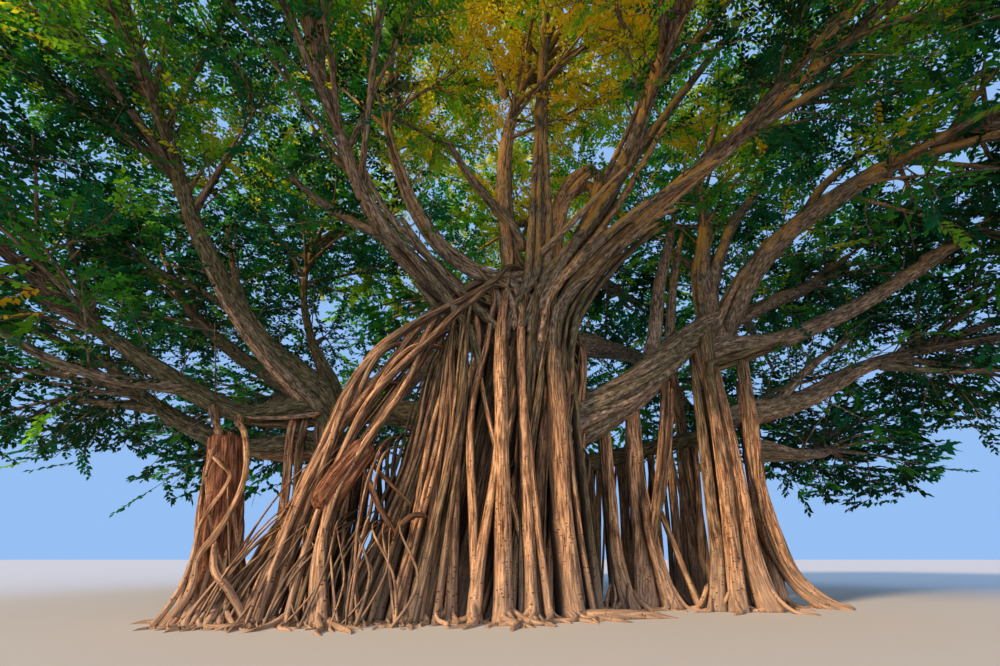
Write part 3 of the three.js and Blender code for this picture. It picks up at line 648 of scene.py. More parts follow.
# %% Front columns
FRONT_COLUMNS = {
    "pale": ([[0.06, -2.2, -0.25], [0.06, -2.02, 1.6], [0.04, -1.9, 4.0], [0.06, -1.6, 7.0],
        [0.2, -1.35, 8.3], [0.35, -1.15, 9.4], [0.25, -1.35, 10.4], [0.15, -1.42, 11.4]],
        [0.19, 0.18, 0.17, 0.15, 0.12, 0.08], 1.0),
    "companion": ([[-0.52, -2.12, -0.25], [-0.38, -2.05, 1.2], [-0.2, -2.0, 2.3], [-0.02, -1.9, 3.9]],
        [0.14, 0.12, 0.09, 0.06], 0.85),
    "crossing": ([[0.6, -1.85, 0.4], [0.3, -1.72, 2.1], [-0.06, -1.68, 3.3], [-0.42, -1.6, 4.8],
        [-0.75, -1.4, 6.6], [-1.2, -1.45, 7.4], [-1.9, -1.85, 8.1]], [0.05, 0.06, 0.06, 0.06, 0.05], 0.85),
    "second": ([[0.62, -1.95, -0.25], [0.6, -1.8, 1.5], [0.57, -1.6, 4.1], [0.64, -1.35, 7.2],
        [0.95, -1.1, 8.7], [1.25, -0.75, 9.8], [1.36, -0.45, 10.9]], [0.16, 0.14, 0.12, 0.12, 0.1, 0.06],
        0.9),
    "second_strand": ([[1.0, -1.95, -0.25], [0.85, -1.85, 1.3], [0.72, -1.68, 3.2], [0.62, -1.5, 5.0]],
        [0.08, 0.07, 0.06, 0.05], 0.7),
    "broad": ([[1.46, -1.55, -0.25], [1.41, -1.42, 1.9], [1.44, -1.32, 4.2], [1.58, -1.05, 7.0],
        [2.15, -1.0, 8.5], [3.1, -1.36, 9.5], [4.2, -1.7, 10.35]], [0.27, 0.24, 0.22, 0.2, 0.17, 0.09], 0.7),
    "broad_strand": ([[1.95, -1.4, -0.25], [1.77, -1.42, 1.6], [1.7, -1.35, 3.6], [1.75, -1.12, 6.2],
        [2.15, -1.0, 7.7], [2.95, -1.1, 8.8], [3.8, -1.42, 9.65]], [0.09, 0.08, 0.08, 0.07, 0.05], 0.35),
    "grey_green": ([[2.12, -0.9, -0.25], [2.06, -0.92, 1.9], [2.0, -0.98, 4.3], [2.2, -0.85, 7.0],
        [2.95, -0.85, 8.4], [3.9, -1.15, 9.45], [4.9, -1.6, 10.3]], [0.13, 0.11, 0.1, 0.1, 0.09, 0.06], 0.02),
    "left_pale": ([[-0.95, -2.08, -0.25], [-0.97, -1.95, 1.8], [-0.98, -1.75, 4.1], [-0.6, -1.55, 6.7],
        [-0.9, -1.6, 7.75], [-1.6, -1.98, 8.4], [-2.4, -2.4, 8.95]], [0.13, 0.11, 0.1, 0.1, 0.09, 0.06],
        0.95),
    "left_twin": ([[-0.42, -2.1, -0.25], [-0.57, -2.0, 1.8], [-0.7, -1.85, 4.1], [-0.25, -1.6, 6.9],
        [-0.2, -1.65, 7.9], [-0.65, -1.88, 8.5], [-1.5, -2.3, 8.95], [-2.2, -2.75, 9.9]],
        [0.11, 0.1, 0.1, 0.09, 0.08, 0.05], 0.75),
    "far_left": ([[-1.55, -2.0, -0.25], [-1.45, -1.9, 2.0], [-1.3, -1.68, 4.5], [-0.95, -1.5, 6.5],
        [-1.35, -1.6, 7.5], [-2.1, -1.98, 8.1], [-3.0, -2.5, 8.85]], [0.14, 0.11, 0.1, 0.1, 0.09, 0.06], 0.6),
    "far_left_strand": ([[-1.9, -2.05, -0.25], [-1.8, -1.95, 2.0], [-1.55, -1.75, 4.3], [-1.15, -1.5, 6.2],
        [-1.55, -1.5, 7.3], [-2.4, -1.95, 7.95]], [0.1, 0.08, 0.07, 0.07, 0.05], 0.45),
}
front = [limb(line, radius, 26, 0.1, 500 + index, tone=tone, flare=0.5, flare_length=0.3, outward=from_core,
              lump=0.1, knots=6)
         for index, (line, radius, tone) in enumerate(FRONT_COLUMNS.values())]
for line, radius, tone in FRONT_COLUMNS.values():
    if line[0][2] < 0:
        foot = np.array(line[0][:2])
        column_feet += 4 * [(foot, math.atan2(foot[1] - FOOT_CENTRE[1], foot[0]), radius[0])]

# %% [markdown]
# ### Toes
#
# Where a column meets the soil it does not stop like a post: it splits into fingers that slide off
# its foot, snake away and sink. Each toe is a limb whose line starts inside a column above the
# ground and ends just under it, so the ground cut leaves only its back showing.

# %% Toes
TOE_DIP = -0.1


def toe(start, heading, length, thick, seed, rise=0.35, tone=0.8, sides=10):
    """A surface root: it leaves the foot at the rise, bends sideways twice and sinks."""
    random = np.random.default_rng(seed)
    ahead = np.array([math.cos(heading), math.sin(heading), 0])
    aside = np.array([-ahead[1], ahead[0], 0])
    sway = random.normal(0, 0.14, 3) * length
    start = np.array([start[0], start[1], 0])
    line = [start + [0, 0, rise],
            start + ahead * length * 0.16 + [0, 0, rise * 0.42],
            start + ahead * length * 0.38 + aside * sway[0] + [0, 0, thick * 0.55],
            start + ahead * length * 0.68 + aside * sway[1] + [0, 0, thick * 0.05],
            start + ahead * length + aside * sway[2] + [0, 0, TOE_DIP]]
    return limb(line, [thick * 0.9, thick, thick * 0.75, thick * 0.4], sides, 0.09, seed, tone=tone,
                lump=0.16,
                flare=-0.3, flare_length=0.1)


SURFACE_ROOT = [[1.2, -1.15, 0.3], [1.5, -1.5, 0.08], [2.2, -1.65, 0.05], [3.0, -1.5, 0.03],
                [3.9, -1.5, -0.12]]

toes = [limb(SURFACE_ROOT, [0.09, 0.12, 0.12, 0.09, 0.05], 14, 0.08, 690, tone=0.95, lump=0.14, knots=2)]
for index, (foot, turn, thick) in enumerate(column_feet):
    thick = min(max(0.022, thick * random.uniform(0.25, 0.5)), 0.065)
    toes.append(toe(foot, turn + random.normal(0, 0.8), random.uniform(9, 24) * thick, thick, 700 + index,
                    rise=random.uniform(3, 8) * thick, tone=random.uniform(0.4, 1), sides=7))
root_piece("trunk_core", [core], "trunk")
root_piece("trunk_columns", column_sets[0] + front, "trunk")
root_piece("trunk_thin_columns", column_sets[1], "trunk")
root_piece("trunk_slender_roots", column_sets[2], "trunk")

# %% [markdown]
# ## The slanting fan and the curtain behind it
#
# On the left the tree has walked outwards. Roots stream down from the fork in a fan, bowed like
# stays, and a curtain of thin ones hangs inside, painted dark as shade, as are the flanks of the
# fan's roots. The chief roots of the fan are drawn one by one. The rest are laid between a top line
# and a foot line, like threads on a loom.

# %% Fan and curtain
FAN_ROOTS = [
    ([[-0.2, -1.35, 8.45], [-1.92, -1.9, 6.9], [-3.13, -2.3, 5.6], [-3.53, -2.4, 4.5], [-3.78, -2.4, 3.2],
        [-4.05, -2.35, 1.9], [-4.4, -2.3, -0.2]], [0.12, 0.11, 0.1, 0.11], 0.7),
    ([[-0.85, -1.4, 7.6], [-2.26, -1.9, 5.94], [-3.53, -2.2, 4.2], [-4.21, -2.3, 2.26], [-4.85, -2.25, -0.2]],
        [0.11, 0.11, 0.11, 0.12], 0.65),
    ([[-1.2, -1.4, 6.9], [-2.31, -1.8, 5.17], [-2.92, -2.1, 3.85], [-3.36, -2.3, 2.67], [-3.5, -2.5, 1.5],
        [-3.35, -2.6, -0.2]], [0.11, 0.11, 0.11, 0.12], 0.8),
    ([[-1.1, -1.45, 7.7], [-2.43, -2.25, 4.43], [-2.96, -2.5, 3.33], [-3.34, -2.62, 2.36],
        [-3.52, -2.65, 1.3], [-3.3, -2.7, -0.2]], [0.1, 0.09, 0.08, 0.1], 0.95),
    ([[-1.6, -1.75, 7.0], [-2.95, -2.15, 4.97], [-3.89, -2.4, 3.14], [-4.2, -2.5, 1.9], [-4.5, -2.5, -0.2]],
        [0.11, 0.12, 0.11, 0.13], 0.7),
    ([[-2.05, -1.95, 6.0], [-3.12, -2.35, 4.15], [-3.36, -2.5, 3.14], [-3.5, -2.6, 1.93],
        [-3.1, -2.75, -0.2]], [0.07, 0.08, 0.09, 0.11], 0.9),
    ([[-2.6, -2.2, 5.9], [-3.7, -2.2, 3.6], [-4.6, -2.1, 1.8], [-5.3, -2.0, -0.2]], [0.07, 0.08, 0.08, 0.1],
        0.55),
    ([[0.32, -1.5, 8.85], [-0.16, -1.85, 8.09], [-0.66, -2.0, 7.58], [-1.63, -2.05, 6.96],
        [-2.55, -2.25, 6.18], [-3.4, -2.4, 5.0], [-3.9, -2.45, 3.4], [-4.25, -2.5, 1.9], [-4.6, -2.5, -0.2]],
        [0.06, 0.1, 0.1, 0.08, 0.08], 0.6),
    ([[-0.16, -1.8, 7.95], [-0.76, -2.1, 7.25], [-1.32, -2.2, 6.62], [-1.8, -2.25, 6.0], [-2.3, -2.3, 5.4],
        [-3.0, -2.4, 4.4], [-3.45, -2.55, 3.0], [-3.75, -2.6, 1.5], [-3.9, -2.65, -0.2]],
        [0.05, 0.09, 0.09, 0.07, 0.07], 0.7),
    ([[-2.95, -2.1, 4.9], [-4.1, -2.0, 3.0], [-5.0, -1.95, 1.2], [-5.6, -1.9, -0.2]],
        [0.06, 0.07, 0.07, 0.08], 0.5),
]
# node, count, thickness, seed, bow, top line, foot line, sway, painted shade behind the fan's front
SHEETS = {
    "fan_thin_roots": ("left_root_fan", 9, (0.02, 0.05), 11, [-0.5, 0, 0.5], [[-0.3, -1.3, 8.2],
        [-1.2, -1.4, 6.6]], [[-5.4, -2.0, -0.2], [-3.4, -2.4, -0.2]], 0.25, 0.7),
    "fan_low_roots": ("left_root_fan", 26, (0.018, 0.05), 12, [-0.2, 0, 0.1], [[-4.0, -2.1, 3.1],
        [-2.7, -2.2, 3.4]], [[-5.7, -2.1, -0.2], [-2.6, -2.6, -0.2]], 0.2, 0.5),
    "fan_foot_web": ("left_root_fan", 34, (0.014, 0.034), 13, [-0.1, -0.05, 0.05], [[-4.5, -2.3, 1.9],
        [-2.2, -2.35, 1.7]], [[-5.8, -2.7, -0.2], [-1.8, -2.85, -0.2]], 0.28, 0.3),
    "fan_inner_screen": ("left_root_fan", 26, (0.03, 0.08), 15, [0, 0, 0], [[-3.9, -1.3, 3.3],
        [-2.3, -1.0, 3.9]], [[-4.7, -1.3, -0.2], [-2.3, -1.5, -0.2]], 0.12, 0.9),
    "curtain_roots": ("root_curtain", 40, (0.025, 0.075), 17, [0.1, 0, 0], [[-0.75, -1.05, 7.9],
        [-1.8, 0.3, 6.4]], [[-1.6, -2.0, -0.2], [-3.6, 0.2, -0.2]], 0.18, 0.6),
    "curtain_front_roots": ("root_curtain", 36, (0.022, 0.07), 19, [0.05, -0.05, 0], [[-0.5, -1.45, 7.8],
        [-1.75, -0.9, 5.6]], [[-1.3, -2.25, -0.2], [-3.2, -2.1, -0.2]], 0.12, 0.75),
}


def toward_front_left(line):
    """The fan's open side: faces towards it, and as much the other way, keep their colour as crest;
    faces turned sideways get painted shade.
    """
    return np.tile([-0.35, -0.9, 0.2], (len(line), 1))


def shade_behind_fan(shade):
    """Painted shade by how deep points lie behind the fan's front face, which leans back as it rises."""
    def depth_shade(points):
        front = -2.4 + 1.1 * points[..., 2] / 8.4
        return shade * soft_step(points[..., 1] - front - 0.2, 0.7)
    return depth_shade


def sheet_of_roots(count, thicks, seed, bow, top, foot, sway, shade):
    """Roots side by side: root k runs from the top line to the foot line at the share k / (count - 1),
    and its middle is pushed out by the bow."""
    random = np.random.default_rng(seed)
    top, foot, bow = (np.array(values, float) for values in (top, foot, bow))
    roots, feet = [], []
    for index, share in enumerate(np.linspace(0, 1, count)):
        high = top[0] + (top[1] - top[0]) * share + random.normal(0, 0.12, 3)
        low = foot[0] + (foot[1] - foot[0]) * np.clip(share + random.normal(0, 0.1), 0, 1)
        low = low + [*random.normal(0, 0.12, 2), 0]
        middle = (low + high) / 2 + bow * random.uniform(0.6, 1.3) + random.normal(0, sway, 3) * [1, 0.6, 0.3]
        thick = random.uniform(*thicks)
        tucked = high + [0.15, 0.35, 0.1]
        roots.append(limb([low, middle, high, tucked], [thick * 1.15, thick, thick * 0.8, thick * 0.4], 8,
                          0.14,
                          seed * 1000 + index, tone=random.uniform(0, 0.75), outward=toward_front_left,
                          both_faces=True, depth_shade=shade_behind_fan(shade), lump=0.12, flare=0.4,
                          flare_length=0.2))
        feet.append((low[:2], thick))
    return roots, feet


fan = [limb(line[::-1] + [np.array(line[0]) + [0.6, 0.5, 0.1]], radius[::-1], 20, 0.1, 3500 + index,
            tone=tone,
            outward=toward_front_left, both_faces=True, flare=0.35, flare_length=0.3, lump=0.1, knots=3)
       for index, (line, radius, tone) in enumerate(FAN_ROOTS)]
root_piece("fan_roots", fan, "left_root_fan")
sheet_feet = [(np.array(line[-1][:2]), radius[-1]) for line, radius, _ in FAN_ROOTS for _ in range(3)]
for name, (node, *rule) in SHEETS.items():
    roots, feet = sheet_of_roots(*rule)
    sheet_feet += feet
    root_piece(name, roots, node)
for index, (foot, thick) in enumerate(sheet_feet):
    thick = min(max(0.022, thick * random.uniform(0.4, 0.7)), 0.06)
    toes.append(toe(foot, random.normal(-1.3, 0.9), random.uniform(10, 26) * thick, thick, 4000 + index,
                    rise=random.uniform(2, 6) * thick, tone=random.uniform(0.4, 1), sides=7))
root_piece("toes", toes, "trunk", "left_root_fan", "root_curtain")

# %% [markdown]
# ## The dead stump and the leaning log
#
# A host tree died inside the banyan. What is left is a reddish, fibrous stump with a broken top,
# laced up by live roots, and a length of trunk caught in the fan. Their wood splits along its
# length, so their relief has many sharp lobes and the top ring is torn up and down.

# %% Stump and log
STUMP_LINE = [[-5.5, -2.0, -0.2], [-5.93, -2, 1.6], [-6.36, -2, 3.55]]
STUMP_RADIUS = [0.62, 0.43, 0.36, 0.34]
LOG_LINE = [[-3.75, -2.55, 1.95], [-3.4, -2.45, 2.65], [-2.95, -2.25, 3.4]]
DEAD_BRANCHES = [
    ([[-2.95, -2.2, 3.1], [-2.68, -2.3, 2.8], [-2.22, -2.35, 2.4], [-1.83, -2.3, 2.04]],
        [0.05, 0.05, 0.04, 0.03]),
    ([[-3.0, -2.3, 2.8], [-2.77, -2.35, 2.47], [-2.45, -2.4, 1.97], [-2.06, -2.4, 1.49]],
        [0.07, 0.07, 0.06, 0.05]),
    ([[-2.15, -2.4, 1.4], [-1.98, -2.42, 1.72], [-1.75, -2.38, 1.88], [-1.5, -2.3, 1.85]],
        [0.06, 0.07, 0.06, 0.04]),
]
SPLIT_LOBES = ((3, 0.06), (9, 0.07), (16, 0.06))
TORN_HEIGHT = 3.55
TORN_BAND = 0.3
TORN_DEPTH = 0.1


def torn(part, seed):
    """Tears the top: points near the torn height are raised or lowered by soft noise."""
    points = part["points"]
    near = np.clip((points[:, 2] - TORN_HEIGHT + TORN_BAND) / TORN_BAND, 0, 1)
    tear = soft_noise(points * [9, 9, 0.5], seed) + 0.5 * soft_noise(points * [21, 21, 0.5], seed + 1)
    part["points"] = points + np.array([0, 0, TORN_DEPTH])[None] * (near * tear)[:, None]
    return part


stump = limb(STUMP_LINE, STUMP_RADIUS, 90, 0.055, 41, lobes=SPLIT_LOBES, lump=0.12, flare=0.25, tone=0.7,
             domed=False)
make_piece("stump_wood", [torn(stump, 43)], dead_wood, ["left_stump"], at_ground=True)
log = limb(LOG_LINE, [0.25, 0.29, 0.31, 0.3, 0.28, 0.27], 72, 0.05, 47, lobes=SPLIT_LOBES, lump=0.14,
           tone=0.8)
make_piece("leaning_log_wood", [log], dead_wood, ["leaning_log"])
dead_branches = [limb(line, radius, 14, 0.07, 50 + index, lobes=((3, 0.1), (5, 0.06)), lump=0.16, tone=0.1)
                 for index, (line, radius) in enumerate(DEAD_BRANCHES)]
make_piece("dead_branches", dead_branches, dead_wood, ["leaning_log"])

# %% [markdown]
# ### Lacing
#
# The live roots wind round the stump in both directions, cross, and fuse where they touch. Most are
# a helix on the stump's own surface. Four are drawn one by one, because they come down from a bough
# or swing across the stump's front.

# %% Roots that lace the stump
LACING = [
    ([[-7.58, 0.2, 4.9], [-7.35, -0.1, 4.5], [-6.8, -0.95, 4.2], [-6.11, -1.8, 3.75], [-5.73, -2.2, 3.3],
        [-5.5, -2.35, 2.65], [-5.5, -2.5, 2.0], [-5.62, -2.62, 1.5], [-5.8, -2.65, 1.15], [-5.75, -2.7, 0.6],
        [-6.2, -2.7, -0.15]], [0.11, 0.07, 0.06, 0.06, 0.06, 0.07], 0.8),
    ([[-8.3, 0.0, 5.0], [-7.8, -0.5, 4.5], [-7.2, -1.15, 4.0], [-6.75, -1.7, 3.7], [-6.45, -2.0, 3.2]],
        [0.12, 0.09, 0.08, 0.07], 0.6),
    ([[-6.64, -2.12, 3.5], [-6.43, -2.28, 3.17], [-6.1, -2.38, 2.92], [-5.84, -2.32, 2.68],
        [-5.84, -2.4, 2.4], [-5.96, -2.46, 2.05], [-6.02, -2.55, 1.7], [-5.9, -2.68, 1.1],
        [-5.95, -2.75, 0.5], [-6.35, -2.75, -0.15]], [0.035, 0.04, 0.04, 0.05, 0.06], 0.85),
    ([[-5.6, -2.6, 1.4], [-5.35, -2.75, 0.85], [-5.05, -2.75, 0.6], [-4.5, -2.65, -0.1]],
        [0.04, 0.06, 0.06, 0.06], 0.8),
]


def lacing_root(start, handed, turns, top, thick, seed):
    """A helix on the stump: its heading turns evenly while it climbs, and it stays on the bark."""
    share = np.linspace(0, top, 12)
    line = smooth_line(STUMP_LINE, 60)
    middle = np.stack([np.interp(share, np.linspace(0, 1, 60), line[:, axis]) for axis in range(3)], 1)
    heading = start + handed * turns * 2 * math.pi * share
    away = along(STUMP_RADIUS, share) * np.where(share < 0.08, 1.5, 1.08)
    line = middle + away[:, None] * np.stack([np.cos(heading), np.sin(heading), 0 * heading], 1)
    return limb(line, [thick * 1.3, thick, thick * 0.7], 8, 0.09, seed, tone=random.uniform(0.6, 1.0),
                lump=0.14,
                flare=0.4)


lacing = [limb(line, radius, 14, 0.08, 5700 + index, tone=tone, lump=0.12, flare=0.3)
          for index, (line, radius, tone) in enumerate(LACING)]
for index in range(38):
    lacing.append(lacing_root(index * 2.4, 1 if index % 2 else -1, random.uniform(0.05, 0.5),
                              random.uniform(0.15, 0.97) ** 1.3, random.uniform(0.02, 0.055), 5720 + index))
for index, turn in enumerate(np.linspace(0, 2 * math.pi, 34, endpoint=False)):
    thick = random.uniform(0.025, 0.06)
    lacing.append(toe([-5.5 + 0.5 * math.cos(turn), -2.0 + 0.5 * math.sin(turn)],
                      turn + random.normal(0, 0.6),
                      random.uniform(0.7, 1.5), thick, 5760 + index, rise=random.uniform(0.3, 0.9),
                      tone=random.uniform(0.5, 1), sides=8))
root_piece("stump_lacing_roots", lacing, "left_stump")

# %% [markdown]
# ## Prop roots
#
# On the right the boughs stand on pillars of their own. Each pillar is a few strands that run side
# by side, some of them joining or parting on the way, with a flared foot and toes.

# %% Prop roots and the left trunk
PROP_ROOTS = {
    "prop_root_1": [
        ([[5.0, -0.15, -0.25], [5.38, 0, 1.0], [5.58, 0.1, 2.7], [6.14, 0.4, 7.2]], [0.18, 0.14, 0.11, 0.1],
          0.3),
        ([[5.4, -0.4, -0.25], [5.66, -0.2, 1.0], [5.92, -0.1, 2.66], [6.36, 0.25, 7.2]],
          [0.17, 0.14, 0.13, 0.12], 0.5),
        ([[6.3, -0.25, -0.25], [6.18, -0.05, 1.0], [6.36, 0.1, 2.6], [6.66, 0.4, 7.2]],
          [0.26, 0.2, 0.17, 0.15], 0.6),
        ([[5.8, 0.2, -0.25], [5.92, 0.25, 1.5], [6.14, 0.35, 4], [6.5, 0.55, 7.2]], [0.2, 0.17, 0.15, 0.14],
          0.1),
    ],
    "prop_root_2": [
        ([[8.5, 0.1, -0.15], [7.9, 0.42, 0.12], [7.5, 0.62, 0.65], [7.24, 0.62, 1.5], [7.14, 0.5, 3.0],
          [7.33, 0.3, 4.8], [7.55, 0.3, 6.6]], [0.14, 0.2, 0.24, 0.2, 0.18, 0.16, 0.16], 0.6),
        ([[7.05, 0.8, -0.25], [7.16, 0.85, 0.8], [7.2, 0.8, 2.5], [7.46, 0.5, 6.0]], [0.22, 0.17, 0.13, 0.12],
          0.55),
    ],
    "prop_root_3": [
        ([[3.5, 0.4, -0.25], [3.78, 0.7, 1.4], [3.83, 0.65, 2.8], [3.98, 0.5, 5.5]], [0.3, 0.25, 0.22, 0.21],
          0.85),
        ([[4.2, 0.3, -0.25], [4.0, 0.5, 1.0], [3.92, 0.55, 2.2], [3.95, 0.55, 3.6]], [0.24, 0.19, 0.16, 0.06],
          0.9),
        ([[3.92, 0.5, 1.0], [4.12, 0.42, 2.0], [4.5, 0.45, 3.2], [5.2, 0.5, 6.0]], [0.06, 0.09, 0.09, 0.08],
          0.9),
        ([[3.92, 0.45, 1.6], [4.36, 0.4, 3.0], [5.04, 0.42, 6.0]], [0.06, 0.07, 0.06], 0.75),
        ([[4.15, 0.65, 1.9], [4.5, 0.65, 2.7], [5.36, 0.7, 5.8]], [0.08, 0.08, 0.09], 0.7),
        ([[5.0, 0.6, -0.15], [4.73, 0.8, 1.1], [4.39, 0.7, 2.3]], [0.08, 0.07, 0.06], 0.9),
    ],
    "prop_root_4": [
        ([[3.15, 0, -0.25], [2.93, 0.3, 1.0], [2.95, 0.3, 2.25], [3.05, 0.3, 5.0]], [0.2, 0.16, 0.14, 0.13],
          0.9),
        ([[2.8, 0.25, -0.25], [2.85, 0.35, 1.4], [2.87, 0.35, 3.0], [2.9, 0.35, 4.9]],
          [0.12, 0.1, 0.08, 0.07], 0.4),
    ],
    "prop_root_5": [
        ([[5.2, 1.7, -0.25], [5.44, 1.7, 1.9], [5.78, 1.5, 5.0], [5.5, 0.8, 6.6]], [0.18, 0.15, 0.14, 0.13],
          0.4),
        ([[4.67, 1.3, -0.25], [4.92, 1.2, 1.64], [5.09, 1.1, 4.0], [5.1, 0.7, 6.2]], [0.08, 0.06, 0.06, 0.06],
          0.4),
    ],
    "left_trunk": [
        ([[-4.1, 0.6, -0.25], [-4.5, 0.5, 1.5], [-4.9, 0.45, 3.4], [-5.1, 0.45, 5.0]],
          [0.42, 0.34, 0.3, 0.32], 0.3),
        ([[-5.0, 1.2, -0.25], [-4.95, 0.9, 2], [-5.0, 0.7, 4.8]], [0.4, 0.3, 0.3], 0.2),
        ([[-4.7, 0.3, -0.25], [-4.8, 0.25, 2], [-4.95, 0.25, 4.7]], [0.3, 0.2, 0.18], 0.5),
        ([[-5.26, 0.3, -0.25], [-5.41, 0.1, 2.5], [-5.6, 0.08, 4.1], [-5.67, 0.35, 4.9]], [0.12, 0.09, 0.08],
          0.5),
        ([[-5.6, 0.2, -0.25], [-5.74, 0.1, 3.0], [-5.9, 0.06, 4.2], [-6.02, 0.3, 4.85]], [0.13, 0.1, 0.09],
          0.6),
    ],
}
PILLAR_LOBES = ((2, 0.1), (3, 0.14), (5, 0.09))
SLENDER_PER_PROP = 10
TOES_PER_PROP = 12
TOUCH_GAP = 0.15


def beside(others):
    """A function that paints shade by how near points are to the other strands of a pillar: 1 where they
    touch.
    """
    lines = [smooth_line(line, 50) for line, _, _ in others]
    radii = [along(radius, np.linspace(0, 1, 50)) for _, radius, _ in others]

    def depth_shade(points):
        gap = [(np.linalg.norm(points[..., None, :] - line, axis=-1) - radius).min(-1)
               for line, radius in zip(lines, radii)]
        return soft_step(TOUCH_GAP - np.min(gap, axis=0), TOUCH_GAP)
    return depth_shade


for number, (name, strands) in enumerate(PROP_ROOTS.items()):
    grounded = [line for line, _, _ in strands if line[0][2] < -0.2]
    parts = [limb(line, radius, 28, 0.09, 6000 + 100 * number + index, tone=tone, flare=0.4,
                  flare_length=0.35,
                  depth_shade=beside(strands[:index] + strands[index + 1:]), lobes=PILLAR_LOBES, lump=0.1, knots=6)
             for index, (line, radius, tone) in enumerate(strands)]
    for index in range(SLENDER_PER_PROP):
        line, radius, _ = strands[index % len(strands)]
        thick = random.uniform(0.02, 0.05)
        turn = random.uniform(0, 2 * math.pi) + np.linspace(0, random.normal(0, 1.2), 7)
        around = np.stack([np.cos(turn), np.sin(turn), 0 * turn], 1) * along(radius,
                                                                             np.linspace(0, 1, 7))[:, None]
        parts.append(limb(smooth_line(line, 7) + around, [thick * 1.2, thick, thick * 0.7], 8, 0.1,
                          6050 + 100 * number + index, tone=random.uniform(0, 1), lump=0.14))
    for index in range(TOES_PER_PROP):
        heading = index * 2 * math.pi / TOES_PER_PROP + random.uniform(-0.3, 0.3)
        line = grounded[index % len(grounded)]
        thick = random.uniform(0.03, 0.065)
        start = np.array(line[0][:2]) + 0.06 * np.array([math.cos(heading), math.sin(heading)])
        parts.append(toe(start, heading, random.uniform(0.6, 1.3), thick, 6070 + 100 * number + index,
                         rise=random.uniform(0.25, 0.6)))
    root_piece(f"{name}_bark", parts, name)

# %% [markdown]
# ## Boughs
#
# The boughs are smoother and greyer than the roots. Each follows the few points that its solid
# follows, tapers evenly, swells at its foot where it grips the trunk, and carries knots where
# twigs were shed. Strands run some way along the underside of the thick ones: roots that came down
# from the bough and fused to it.

